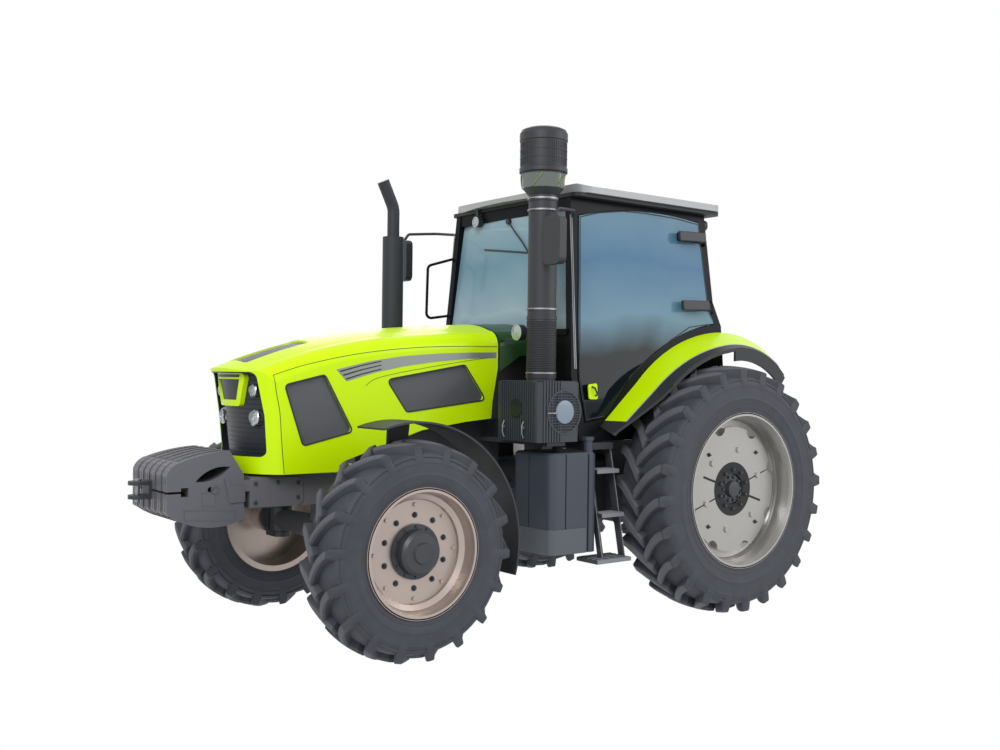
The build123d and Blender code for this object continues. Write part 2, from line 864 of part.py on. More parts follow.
with BuildPart() as bonnet:
    add(hood_body(0))
    add(hood_body(hood_wall), mode=Mode.SUBTRACT)
    for outline in (bonnet_sill, bonnet_tail):
        with BuildSketch(Plane.XZ):
            with BuildLine():
                Polyline(*outline, close=True)
            make_face()
        extrude(amount=hood_half_width + 50, both=True, mode=Mode.SUBTRACT)
    extrude(to_extrude=vent_panels(0), amount=hood_half_width + 50, both=True, mode=Mode.SUBTRACT)
    extrude(to_extrude=top_vent(0), amount=400, mode=Mode.SUBTRACT)
    extrude(to_extrude=grille_opening(0), amount=500, mode=Mode.SUBTRACT)
    # Hinge knuckle at the crown, and the notches its neighbours stand in
    for side in (1, -1):
        with Locations((fore(hood_rear - 5), side * 1.5 * hinge_width, bonnet_pivot_z)):
            Box(18, hinge_width + 2, 60, mode=Mode.SUBTRACT)
    with BuildSketch(upright(hinge_width - 1)):
        with Locations((fore(bonnet_pivot_x), bonnet_pivot_z)):
            Circle(hinge_radius)
        with Locations((fore(bonnet_pivot_x) + 16, bonnet_pivot_z)):
            Rectangle(32, 14)
        with Locations((fore(bonnet_pivot_x), bonnet_pivot_z)):
            Circle(hinge_pin + pin_clearance, mode=Mode.SUBTRACT)
    extrude(amount=2 * hinge_width - 2)
    # Badge plate with a sunk middle, seated on the grille
    with BuildPart() as badge:
        extrude(to_extrude=badge_outline(0), amount=500)
        add(nose_block(0, grille_recess - badge_depth), mode=Mode.INTERSECT)
        add(nose_block(0, grille_recess), mode=Mode.SUBTRACT)
        with BuildPart(mode=Mode.PRIVATE) as pocket:
            extrude(to_extrude=badge_outline(badge_frame), amount=500)
            add(nose_block(0, grille_recess - badge_depth + badge_pocket), mode=Mode.SUBTRACT)
        add(pocket.part, mode=Mode.SUBTRACT)
finish(bonnet, "bonnet")

with BuildPart() as side_vent_panels:
    add(hood_body(hood_wall))
    add(hood_body(hood_wall + vent_sheet), mode=Mode.SUBTRACT)
    extrude(
        to_extrude=vent_panels(vent_lap), amount=hood_half_width + 50, both=True, mode=Mode.INTERSECT
    )
    with BuildPart(mode=Mode.PRIVATE) as top_panel:
        add(hood_body(hood_wall))
        add(hood_body(hood_wall + vent_sheet), mode=Mode.SUBTRACT)
        extrude(to_extrude=top_vent(vent_lap), amount=400, mode=Mode.INTERSECT)
    add(top_panel.part)
finish(side_vent_panels, "side_vents")

# The grille is a tray: a wall round the opening and a sheet across it, well behind the nose
with BuildPart() as grille:
    extrude(to_extrude=grille_opening(seam), amount=500)
    add(nose_block(5, 0), mode=Mode.INTERSECT)
    add(nose_block(0, grille_recess + grille_sheet), mode=Mode.SUBTRACT)
    with BuildPart(mode=Mode.PRIVATE) as hollow:
        extrude(to_extrude=grille_opening(seam + grille_wall), amount=500)
        add(nose_block(0, grille_recess), mode=Mode.SUBTRACT)
    add(hollow.part, mode=Mode.SUBTRACT)
finish(grille, "grille")

headlamp_depth = 18
headlamp_table = [
    # Y, Z, radius of one headlamp
    (247, 1635, 34),
    (240, 1463, 46),
]
with BuildPart() as headlamps:
    with BuildSketch(Plane.YZ.offset(ahead(420))):
        for lamp_y, lamp_z, lamp_radius in headlamp_table:
            with Locations((lamp_y, lamp_z), (-lamp_y, lamp_z)):
                Circle(lamp_radius)
    extrude(amount=500)
    add(nose_block(0, grille_recess - headlamp_depth), mode=Mode.INTERSECT)
    add(nose_block(0, grille_recess), mode=Mode.SUBTRACT)
finish(headlamps, "headlamps")

cowl_outline = [
    (fore(belt_front + seam), crown_rear_z + 40),
    (fore(hood_rear - cowl_gap), crown_rear_z + 40),
    (fore(hood_rear - cowl_gap), 1775),
    (fore(1400), 1890),
    (fore(belt_front + seam), 1900),
]
with BuildPart() as cowl:
    add(hood_body(0))
    add(hood_body(hood_wall), mode=Mode.SUBTRACT)
    with BuildSketch(Plane.XZ):
        with BuildLine():
            Polyline(*cowl_outline, close=True)
        make_face()
    extrude(amount=hood_half_width + 50, both=True, mode=Mode.INTERSECT)
    for ear_y in (2 * hinge_width, -hinge_width):
        with BuildSketch(upright(ear_y)):
            with Locations((fore(bonnet_pivot_x), bonnet_pivot_z)):
                Circle(hinge_radius)
            with Locations((fore(bonnet_pivot_x) - 14, bonnet_pivot_z)):
                Rectangle(28, 14)
        extrude(amount=hinge_width)
    with BuildSketch(upright(2 * hinge_width)):
        with Locations((fore(bonnet_pivot_x), bonnet_pivot_z)):
            Circle(hinge_pin)
    extrude(amount=4 * hinge_width)
finish(cowl, "cowl")


# ---------------------------------------------------------------- cab
def lean_y(z, depth=0.0):
    """Half width of the cab at a height, this far inside its outer face."""
    lean = radians(cab_lean)
    return cab_foot_y - tan(lean) * (z - cab_foot_z) - depth / cos(lean)


def door_outline(grow):
    """Outline of the left door in the plane of the cab's side."""
    with BuildSketch(side_plane(), mode=Mode.PRIVATE) as outline:
        with BuildLine():
            Polyline((fore(955), 52), (fore(1155), 25), (fore(1200), 350), (fore(1128), 1510))
            ThreePointArc((fore(1128), 1510), (fore(450), 1604), (fore(-140), 1572))
            Polyline((fore(-140), 1572), (fore(-200), 950), (fore(-255), 775))
            ThreePointArc((fore(-255), 775), (fore(300), 600), (fore(690), 345))
            Line((fore(690), 345), (fore(955), 52))
        make_face()
        if grow:
            offset(amount=grow, kind=Kind.INTERSECTION)
    return outline.sketch


header_depth = 85
header_half = lean_y(cab_top_z, frame_depth) + 20
belt_half = lean_y(beltline_z, frame_depth) + 20
with BuildPart() as cab_frame:
    with BuildSketch(side_plane()):
        with BuildLine():
            Polyline(
                (fore(1212), -110),
                (fore(1262), 350),
                (fore(1192), 1720),
                (fore(-205), 1720),
                (fore(-262), 950),
                (fore(cab_rear), 760),
                (fore(cab_rear), -110),
                close=True,
            )
        make_face()
    extrude(amount=frame_depth)
    extrude(to_extrude=door_outline(door_gap), amount=frame_depth, mode=Mode.SUBTRACT)
    mirror(about=Plane.XZ)
    with Locations((fore(500), 0, cab_top_z + 100)):
        Box(2400, 2400, 200, mode=Mode.SUBTRACT)
    cross_table = [
        # rear X, front X, bottom Z, top Z, half length
        (1130, 1190, cab_top_z - header_depth, cab_top_z, header_half),
        (-205, -150, cab_top_z - header_depth, cab_top_z, header_half),
        (1215, belt_front, beltline_z - 45, beltline_z, belt_half),
        (cab_rear, -250, beltline_z, beltline_z + 45, belt_half),
    ]
    for rear, front, bottom, top, half in cross_table:
        with Locations((fore((rear + front) / 2), 0, (bottom + top) / 2)):
            Box(front - rear, 2 * half, top - bottom)
finish(cab_frame, "cab_frame")

with BuildPart() as cab_floor:
    wall_table = [
        # rear X, front X, bottom Z, top Z of one upright wall
        (cab_front - cab_wall, cab_front - seam, floor_top_z - floor_thickness, beltline_z - 45 - seam),
        (cab_rear, cab_rear + cab_wall, floor_top_z - floor_thickness, beltline_z - seam),
    ]
    for rear, front, bottom, top in wall_table:
        with BuildSketch(Plane.YZ.offset(fore(rear))):
            with BuildLine():
                Polyline(
                    (-lean_y(bottom, frame_depth) + seam, bottom),
                    (lean_y(bottom, frame_depth) - seam, bottom),
                    (lean_y(top, frame_depth) - seam, top),
                    (-lean_y(top, frame_depth) + seam, top),
                    close=True,
                )
            make_face()
        extrude(amount=front - rear)
    with Locations((fore((cab_front + cab_rear) / 2), 0, floor_top_z - floor_thickness / 2)):
        Box(cab_front - cab_rear - 2, 2 * (lean_y(floor_top_z, frame_depth) - seam), floor_thickness)
finish(cab_floor, "cab_floor")


def glazing(bottom_x, bottom_z, top_x, top_z, bulge):
    """A pane between the side frames, bowed forward by its bulge."""
    with BuildPart() as pane:
        for x, z in ((bottom_x, bottom_z), (top_x, top_z)):
            half = lean_y(z, frame_depth) - 1
            with BuildSketch(Plane.XY.offset(z)):
                with BuildLine():
                    for step in (0, glass):
                        if bulge:
                            ThreePointArc((x - step, -half), (x - step + bulge, 0), (x - step, half))
                        else:
                            Line((x - step, -half), (x - step, half))
                    Line((x, half), (x - glass, half))
                    Line((x, -half), (x - glass, -half))
                make_face()
        loft(ruled=True)
    return pane.part


with BuildPart() as cab_glass:
    add(glazing(fore(1222), beltline_z + seam, fore(1152), cab_top_z - header_depth - seam, 34))
    add(glazing(fore(-258), beltline_z + 45 + seam, fore(-172), cab_top_z - header_depth - seam, 0))
finish(cab_glass, "cab_glass")

liner_thickness = 27
roof_half_width = 800
roof_corner_front = 1130
roof_corner_rear = -300
roof_nose = 1290
roof_tail = -440
roof_rise = 155
roof_side_rise = 42
with BuildPart() as roof_liner:
    with BuildSketch(Plane.XY.offset(cab_top_z)):
        with Locations((fore((roof_corner_front + roof_corner_rear) / 2 + 20), 0)):
            RectangleRounded(roof_corner_front - roof_corner_rear + 110, 2 * roof_half_width - 50, 60)
    extrude(amount=liner_thickness)
finish(roof_liner, "roof_liner")

roof_bottom_z = cab_top_z + liner_thickness
with BuildPart() as cab_roof:
    with BuildSketch(Plane.XY.offset(roof_bottom_z)) as plan:
        with BuildLine():
            Line((fore(roof_corner_rear), roof_half_width), (fore(roof_corner_front), roof_half_width))
            ThreePointArc(
                (fore(roof_corner_front), roof_half_width),
                (fore(roof_nose), 0),
                (fore(roof_corner_front), -roof_half_width),
            )
            Line((fore(roof_corner_front), -roof_half_width), (fore(roof_corner_rear), -roof_half_width))
            ThreePointArc(
                (fore(roof_corner_rear), -roof_half_width),
                (fore(roof_tail), 0),
                (fore(roof_corner_rear), roof_half_width),
            )
        make_face()
        fillet(plan.vertices(), 90)
    extrude(amount=roof_rise)
    with BuildSketch(Plane.YZ.offset(fore(roof_tail - 60))):
        with BuildLine():
            Polyline(
                (-roof_half_width - 20, roof_bottom_z + roof_side_rise),
                (-roof_half_width - 20, roof_bottom_z),
                (roof_half_width + 20, roof_bottom_z),
                (roof_half_width + 20, roof_bottom_z + roof_side_rise),
            )
            ThreePointArc(
                (roof_half_width + 20, roof_bottom_z + roof_side_rise),
                (0, roof_bottom_z + roof_rise),
                (-roof_half_width - 20, roof_bottom_z + roof_side_rise),
            )
        make_face()
    extrude(amount=roof_nose - roof_tail + 120, mode=Mode.INTERSECT)
    with BuildSketch(Plane.XZ):
        with BuildLine():
            Polyline(
                (fore(roof_nose + 20), roof_bottom_z + 30),
                (fore(roof_nose + 20), roof_bottom_z),
                (fore(roof_tail - 20), roof_bottom_z),
                (fore(roof_tail - 20), roof_bottom_z + 60),
            )
            ThreePointArc(
                (fore(roof_tail - 20), roof_bottom_z + 60),
                (fore(350), roof_bottom_z + roof_rise),
                (fore(roof_nose + 20), roof_bottom_z + 30),
            )
        make_face()
    extrude(amount=roof_half_width + 20, both=True, mode=Mode.INTERSECT)
finish(cab_roof, "cab_roof")

# Doors, hinged at their rear edge
hinge_slope = (-140 + 200) / (1572 - 950)
hinge_low_s = 905
hinge_low_x = -232
hinge_heights = [905, 1440]
hinge_arm_length = 300
hinge_arm_height = 66
hinge_arm_depth = 15
hinge_pin_radius = 5
barrel_radius = 12
barrel_depth = 12.6
knuckle_ear = 18
handle_x = 1085
handle_s = 240


def hinge_x(s):
    """X of the door's hinge line at a height above the foot line."""
    return hinge_low_x + (s - hinge_low_s) * hinge_slope


def hinge_piece(s, low, high, radius):
    """A round bar on the door's hinge line, from low to high about the height s."""
    place = side_plane()
    axis = (place.x_dir * hinge_slope + place.y_dir).normalized()
    centre = place.from_local_coords((fore(hinge_x(s)), s, -barrel_depth))
    with BuildPart() as bar:
        with BuildSketch(Plane(origin=centre + axis * low, z_dir=axis)):
            Circle(radius)
        extrude(amount=high - low)
    return bar.part


with BuildPart() as hinge_mounts:
    for s in hinge_heights:
        half = hinge_arm_height / 2
        for low, high in ((-half - knuckle_ear - 1, -half - 1), (half + 1, half + 1 + knuckle_ear)):
            add(hinge_piece(s, low, high, barrel_radius))
        add(hinge_piece(s, -half - 1, half + 1, hinge_pin_radius))
        with BuildSketch(side_plane().offset(-barrel_depth)):
            for middle in (-half - 1 - knuckle_ear / 2, half + 1 + knuckle_ear / 2):
                with Locations((fore(hinge_x(s) + middle * hinge_slope) - barrel_radius / 3, s + middle)):
                    Rectangle(barrel_radius, knuckle_ear - 3)
        extrude(amount=barrel_depth)
    mirror(about=Plane.XZ)
finish(hinge_mounts, "door_hinge_mounts")

with BuildPart() as door:
    extrude(to_extrude=door_outline(0), amount=door_depth)
    extrude(to_extrude=door_outline(-door_rim), amount=door_depth, mode=Mode.SUBTRACT)
    for s in hinge_heights:
        with BuildSketch(side_plane().offset(-glass)):
            with Locations((fore(hinge_x(s)) + hinge_arm_length / 2, s)):
                Rectangle(hinge_arm_length, hinge_arm_height - 4)
        extrude(amount=-hinge_arm_depth)
        add(hinge_piece(s, -hinge_arm_height / 2, hinge_arm_height / 2, barrel_radius))
        add(hinge_piece(s, -hinge_arm_height / 2, hinge_arm_height / 2, hinge_pin_radius + pin_clearance),
            mode=Mode.SUBTRACT)
    with BuildSketch(side_plane().offset(-glass)):
        with Locations((fore(handle_x), handle_s)):
            RectangleRounded(90, 60, 18)
    extrude(amount=-26)
finish(door, "door_left")
finish(right_hand(door), "door_right")

with BuildPart() as door_glass:
    extrude(to_extrude=door_outline(-4), amount=-glass)
finish(door_glass, "door_glass_left")
finish(right_hand(door_glass), "door_glass_right")

# ---------------------------------------------------------------- rear wings
arch_table = {
    # X and height of: front foot, end of the straight, mid arc, crest, rear mid arc, rear foot
    "cab": [(1010, -10), (620, 310), (250, 565), (-200, 700), (-560, 690), (-880, 570)],
    "seam": [(1050, 1340), (640, 1660), (280, 1885), (-100, 1995), (-450, 1985), (-760, 1850)],
    "edge": [(1060, 1300), (710, 1590), (360, 1845), (0, 1955), (-350, 1940), (-650, 1755)],
}


def arch(plane, name, axle_height, thickness):
    """Closed section of the wing: a straight and two arcs, and the same drawn in towards the axle."""
    outer = [Vector(fore(x), z) for x, z in arch_table[name]]
    axle = Vector(rear_axle_x, axle_height)
    inner = [point - (point - axle).normalized() * thickness for point in outer]
    with BuildSketch(plane, mode=Mode.PRIVATE) as section:
        with BuildLine():
            for line in (outer, inner):
                Line(line[0], line[1])
                ThreePointArc(line[1], line[2], line[3])
                ThreePointArc(line[3], line[4], line[5])
            Line(outer[0], inner[0])
            Line(outer[5], inner[5])
        make_face()
    return section.sketch.face()


def front_trim():
    """What is cut from the wing's front corner in plan, so that the door swings past it."""
    with BuildPart() as trim:
        with BuildSketch(Plane.XY.offset(1200)):
            with BuildLine():
                Polyline(
                    (fore(1310), fender_seam_y - 108),
                    (fore(590), fender_edge_y + 6),
                    (fore(590), fender_edge_y + 60),
                    (fore(1310), fender_edge_y + 60),
                    close=True,
                )
            make_face()
        extrude(amount=1000)
    return trim.part


cab_axle_height = rear_tyre_radius - cab_foot_z
foot_x = 1000
foot_z = 1432
foot_block = (400, 3000, 400)
skirt_depth = 92
skirt_front = -60


def wing_skin():
    """The wing from the cab's side out to the seam with its edge."""
    return loft(
        [
            arch(side_plane(), "cab", cab_axle_height, fender_thickness),
            arch(upright(fender_seam_y), "seam", rear_tyre_radius, fender_thickness),
        ],
        ruled=True,
    )


with BuildPart() as rear_fender:
    wing_skin()
    add(front_trim(), mode=Mode.SUBTRACT)
    with Locations((fore(foot_x), 0, foot_z)):
        Box(*foot_block, align=(Align.CENTER, Align.CENTER, Align.MAX), mode=Mode.SUBTRACT)
    mirror(about=Plane.XZ)
finish(rear_fender, "rear_fenders")

with BuildPart() as fender_edge:
    loft(
        [
            arch(upright(fender_seam_y), "seam", rear_tyre_radius, edge_thickness),
            arch(upright(fender_edge_y), "edge", rear_tyre_radius, edge_thickness),
        ],
        ruled=True,
    )
    # Skirt that hangs inside the edge at the tail
    with BuildPart(mode=Mode.PRIVATE) as skirt:
        extrude(to_extrude=arch(upright(fender_edge_y), "edge", rear_tyre_radius, skirt_depth), amount=edge_thickness)
        with Locations((fore(skirt_front), 0, 0)):
            Box(2000, 3000, 5000, align=(Align.MAX, Align.CENTER, Align.CENTER), mode=Mode.INTERSECT)
    add(skirt.part)
    # Foot of the wing, below the painted part
    with BuildPart(mode=Mode.PRIVATE) as foot:
        wing_skin()
        with Locations((fore(foot_x), 0, foot_z - seam)):
            Box(*foot_block, align=(Align.CENTER, Align.CENTER, Align.MAX), mode=Mode.INTERSECT)
    add(foot.part)
    add(front_trim(), mode=Mode.SUBTRACT)
    mirror(about=Plane.XZ)
finish(fender_edge, "fender_edges")

# ---------------------------------------------------------------- brackets, tank, boxes and ladders
ladder_rear = 975
ladder_front = 1187
with BuildPart() as chassis_brackets:
    for side in (1, -1):
        with BuildSketch(Plane.YZ.offset(fore(ladder_rear))):
            with BuildLine():
                Polyline(
                    (side * gearbox_half_width, 1000),
                    (side * (gearbox_half_width + 60), 1000),
                    (side * 420, 1235),
                    (side * 940, 1235),
                    (side * 940, 1282),
                    (side * 778, 1282),
                    (side * 778, floor_top_z - floor_thickness),
                    (side * gearbox_half_width, floor_top_z - floor_thickness),
                    close=True,
                )
            make_face()
        extrude(amount=ladder_front - ladder_rear)
        with Locations((fore(1330), side * (gearbox_half_width + tank_inner_y) / 2, 930)):
            Box(70, tank_inner_y - gearbox_half_width, 60)
        with Locations((fore(1560), side * (engine_half_width + tank_inner_y) / 2, 930)):
            Box(70, tank_inner_y - engine_half_width, 60)
        # Rear cab mounts, on the axle housing
        with Locations((fore(-120), side * (axle_box_half_width - 60), (axle_box_top_z + floor_top_z - floor_thickness) / 2)):
            Box(160, 110, floor_top_z - floor_thickness - axle_box_top_z)
    with Locations((fore(1565), (engine_half_width + box_outer_y) / 2 - 20, box_bottom_z - 14)):
        Box(160, box_outer_y - engine_half_width - 40, 28)
finish(chassis_brackets, "chassis_brackets")

with BuildPart() as fuel_tank:
    with BuildSketch(Plane.XY.offset(tank_bottom_z)):
        with Locations((fore((tank_front + tank_rear) / 2), (tank_inner_y + tank_outer_y) / 2)):
            RectangleRounded(tank_front - tank_rear, tank_outer_y - tank_inner_y, 55)
    extrude(amount=tank_top_z - tank_bottom_z)
    chamfer(faces().sort_by(Axis.Z)[-1].edges(), 16)
    # Grooves down its outer and front walls, between the swages
    for groove_x, groove_width in ((1508, 10), (1306, 16)):
        with Locations((fore(groove_x), tank_outer_y, (tank_top_z + tank_bottom_z) / 2)):
            Box(groove_width, 24, tank_top_z - tank_bottom_z, mode=Mode.SUBTRACT)
    with Locations((fore(tank_front), 816, (tank_top_z + tank_bottom_z) / 2)):
        Box(24, 10, tank_top_z - tank_bottom_z, mode=Mode.SUBTRACT)
    with Locations((fore(tank_rear + 48), tank_outer_y - 52, tank_top_z + 40)):
        Cylinder(31, 80)
    with Locations((fore(tank_rear + 48), tank_outer_y - 52, tank_top_z + 92)):
        Cylinder(40, 24)
finish(fuel_tank, "fuel_tank")

with BuildPart() as battery_box:
    with BuildSketch(Plane.XY.offset(tank_bottom_z + 120)):
        with Locations((fore((tank_front + tank_rear) / 2), -(tank_inner_y + tank_outer_y) / 2 + 40)):
            RectangleRounded(tank_front - tank_rear, tank_outer_y - tank_inner_y - 80, 25)
    extrude(amount=520)
finish(battery_box, "battery_box")

rib_pitch = 24
rib_depth = 7
screen_radius = 150
screen_height = 10
with BuildPart() as air_cleaner:
    with BuildSketch(Plane.XY.offset(box_bottom_z)):
        with Locations((fore((box_front + box_rear) / 2), (box_inner_y + box_outer_y) / 2)):
            RectangleRounded(
                box_front - box_rear - 2 * rib_depth, box_outer_y - box_inner_y - 2 * rib_depth, 38
            )
    extrude(amount=box_top_z - box_bottom_z - rib_depth)
    # Ribs down the outer and front walls, and the round screens that stand on them
    for index in range(7):
        with Locations((fore(box_front - 55 - index * rib_pitch), (box_inner_y + box_outer_y) / 2,
                        (box_bottom_z + box_top_z) / 2)):
            Box(rib_pitch / 2, box_outer_y - box_inner_y, box_top_z - box_bottom_z)
    for index in range(15):
        with Locations((fore((box_front + box_rear) / 2), box_outer_y - 66 - index * rib_pitch,
                        (box_bottom_z + box_top_z) / 2)):
            Box(box_front - box_rear, rib_pitch / 2, box_top_z - box_bottom_z)
    with BuildSketch(Plane(origin=(fore(box_rear + 158), box_outer_y - rib_depth, 1507), z_dir=(0, 1, 0))):
        Circle(screen_radius)
        Circle(screen_radius - 12, mode=Mode.SUBTRACT)
        Circle(82)
    extrude(amount=screen_height)
finish(air_cleaner, "air_cleaner")

with BuildPart() as intake_stack:
    with Locations((fore(stack_x), stack_y, (box_top_z + stack_top_z) / 2)):
        Cylinder(stack_radius, stack_top_z - box_top_z)
    for clamp_z in (box_top_z + 30, 2150, stack_top_z - 30):
        with Locations((fore(stack_x), stack_y, clamp_z)):
            Cylinder(stack_radius + 6, 24)
finish(intake_stack, "intake_stack")

with BuildPart() as precleaner:
    with BuildSketch(wheel_plane(fore(stack_x), stack_y, 0)):
        with BuildLine():
            Polyline(
                (0, stack_top_z),
                (stack_radius + 4, stack_top_z),
                (cleaner_radius - 26, stack_top_z + 46),
                (cleaner_radius - 12, stack_top_z + bowl_height),
                (cleaner_radius, stack_top_z + bowl_height + 6),
                (cleaner_radius, stack_top_z + bowl_height + 34),
                (cleaner_radius - 7, stack_top_z + bowl_height + 40),
                (cleaner_radius - 7, cleaner_top_z - 92),
                (cleaner_radius, cleaner_top_z - 86),
                (cleaner_radius, cleaner_top_z - 36),
                (cleaner_radius - 12, cleaner_top_z - 12),
                (cleaner_radius - 36, cleaner_top_z),
                (0, cleaner_top_z),
                close=True,
            )
        make_face()
    revolve(axis=Axis((fore(stack_x), stack_y, 0), (0, 0, 1)))
finish(precleaner, "precleaner")

exhaust_x = 1930
exhaust_y = -500
muffler_radius = 80
muffler_bottom_z = 1720
muffler_top_z = 2790
pipe_radius = 46
with BuildPart() as exhaust:
    with BuildLine() as lower:
        FilletPolyline(
            (fore(exhaust_x), -engine_half_width, 1335),
            (fore(exhaust_x), exhaust_y, 1335),
            (fore(exhaust_x), exhaust_y, muffler_bottom_z),
            radius=90,
        )
    with BuildSketch(Plane(origin=lower.line @ 0, z_dir=lower.line % 0)):
        Circle(pipe_radius)
    sweep(path=lower.line)
    with Locations((fore(exhaust_x), exhaust_y, (muffler_bottom_z + muffler_top_z) / 2)):
        Cylinder(muffler_radius, muffler_top_z - muffler_bottom_z)
    with BuildLine() as upper:
        FilletPolyline(
            (fore(exhaust_x), exhaust_y, muffler_top_z),
            (fore(exhaust_x), exhaust_y, muffler_top_z + 220),
            (fore(exhaust_x + 95), exhaust_y, muffler_top_z + 415),
            radius=150,
        )
    with BuildSketch(Plane(origin=upper.line @ 0, z_dir=upper.line % 0)):
        Circle(pipe_radius)
    sweep(path=upper.line)
finish(exhaust, "exhaust")

rail_top_z = 1235
rail_bottom_z = 475
with BuildPart() as ladder:
    for rail_x in (ladder_rear, ladder_front - 14):
        with BuildSketch(Plane.YZ.offset(fore(rail_x))):
            with BuildLine():
                Polyline((865, rail_top_z), (915, rail_top_z), (1075, rail_bottom_z), (1025, rail_bottom_z), close=True)
            make_face()
        extrude(amount=14)
    for tread_z, tread_y in ((1085, 945), (785, 1000)):
        with Locations((fore((ladder_rear + ladder_front) / 2), tread_y, tread_z)):
            Box(ladder_front - ladder_rear, 120, 26)
    with Locations((fore(ladder_rear + 150), 1020, rail_bottom_z + 6)):
        Box(320, 210, 26)
    mirror(about=Plane.XZ)
finish(ladder, "steps")

# ---------------------------------------------------------------- inside the cab
with BuildPart() as seat_base:
    with Locations((fore(380), 0, (floor_top_z + 1640) / 2)):
        Box(380, 400, 1640 - floor_top_z)
    with Locations((fore(420), -400, (floor_top_z + 1830) / 2)):
        Box(560, 200, 1830 - floor_top_z)
finish(seat_base, "seat_base")

with BuildPart() as seat:
    with BuildSketch(Plane.XY.offset(1640 + seam)):
        with Locations((fore(380), 0)):
            RectangleRounded(500, 500, 70)
    extrude(amount=120)
    fillet(seat.faces().sort_by(Axis.Z)[-1].edges(), 30)
    with BuildSketch(Plane.YZ.offset(fore(60))):
        with Locations((0, 2000)):
            RectangleRounded(470, 500, 90)
        with Locations((0, 2310)):
            RectangleRounded(290, 190, 50)
    extrude(amount=110)
    with BuildSketch(Plane.YZ.offset(fore(100))):
        with Locations((0, 2230)):
            Rectangle(160, 80)
    extrude(amount=30)
    # Arm rests on their brackets
    for side in (1, -1):
        with Locations((fore(300), side * 275, 1880)):
            Box(330, 60, 50)
        with Locations((fore(150), side * 245, 1880)):
            Box(50, 60, 40)
finish(seat, "seat")

with BuildPart() as steering_column:
    wheel_place = Plane(origin=(fore(900), 0, 2130), x_dir=(0, 1, 0), z_dir=(-0.5, 0, 1))
    with Locations(wheel_place.offset(13)):
        Torus(192, 13)
    with BuildSketch(wheel_place):
        Rectangle(370, 34)
        Circle(45)
    extrude(amount=22)
    with BuildSketch(wheel_place):
        Circle(30)
    extrude(amount=-350)
    with Locations((fore(1130), 0, (floor_top_z + 2030) / 2)):
        Box(170, 520, 2030 - floor_top_z)
finish(steering_column, "steering_console")

# ---------------------------------------------------------------- mirrors, rail and lamps
mirror_x = 1550
mirror_y = 950
mirror_z = 2670
tube_radius = 11
with BuildPart() as mirrors:
    arm_start = (fore(1165), lean_y(2890) - 20, 2890)
    with BuildLine() as arm:
        FilletPolyline(
            arm_start,
            (fore(1300), 860, 2905),
            (fore(mirror_x - 40), mirror_y - 10, 2890),
            (fore(mirror_x), mirror_y, mirror_z + 160),
            radius=30,
        )
    with BuildSketch(Plane(origin=arm.line @ 0, z_dir=arm.line % 0)):
        Circle(tube_radius)
    sweep(path=arm.line)
    with BuildSketch(Plane.YZ.offset(fore(mirror_x - 30))):
        with Locations((mirror_y, mirror_z)):
            RectangleRounded(180, 330, 45)
    extrude(amount=60)
    mirror(about=Plane.XZ)
    add(cab_frame.part, mode=Mode.SUBTRACT)
finish(mirrors, "mirrors")

with BuildPart() as grab_rail:
    with BuildLine() as rail:
        FilletPolyline(
            (fore(1225), 8 - lean_y(2230), 2230),
            (fore(1420), -800, 2200),
            (fore(1410), -800, 2630),
            (fore(1190), 8 - lean_y(2700), 2700),
            radius=40,
        )
    with BuildSketch(Plane(origin=rail.line @ 0, z_dir=rail.line % 0)):
        Circle(tube_radius)
    sweep(path=rail.line)
    add(cab_frame.part, mode=Mode.SUBTRACT)
finish(grab_rail, "grab_rail")

roof_lamp_table = [
    # X of the back, Y, Z, facing, radius of a lamp under the roof
    (1195, 385, 2960, 1, 42),
    (-240, 640, 2965, -1, 42),
]
with BuildPart() as lamps:
    for lamp_x, lamp_y, lamp_z, facing, radius in roof_lamp_table:
        for side in (1, -1):
            with BuildSketch(Plane(origin=(fore(lamp_x), side * lamp_y, lamp_z), x_dir=(0, 1, 0), z_dir=(facing, 0, 0))):
                Circle(radius)
            extrude(amount=42)
            with Locations((fore(lamp_x + facing * 22), side * lamp_y, (lamp_z + roof_bottom_z) / 2)):
                Box(20, 24, roof_bottom_z - lamp_z)
    for side in (1, -1):
        with BuildSketch(Plane.YZ.offset(fore(1540))):
            with Locations((side * 600, 2050)):
                Circle(56)
        extrude(amount=50)
        with Locations((fore(1555), side * 450, 2006)):
            Box(30, 250, 14)
    for fixed in (hood_body(0), roof_liner.part):
        add(fixed, mode=Mode.SUBTRACT)
finish(lamps, "lamps")

# ---------------------------------------------------------------- drawbar and rear linkage
with BuildPart() as drawbar:
    with BuildSketch(Plane.XY.offset(430)):
        with BuildLine():
            Polyline((fore(-80), 45), (fore(-80), -45), (fore(-760), -45))
            ThreePointArc((fore(-760), -45), (fore(-805), 0), (fore(-760), 45))
            Line((fore(-760), 45), (fore(-80), 45))
        make_face()
        with Locations((fore(-760), 0)):
            Circle(16.5, mode=Mode.SUBTRACT)
    extrude(amount=38)
    with Locations((fore(-240), 0, (468 + axle_box_bottom_z) / 2)):
        Box(240, 160, axle_box_bottom_z - 468)
    with Locations((fore(-240), 0, 470)):
        Box(240, 200, 60)
finish(drawbar, "drawbar")

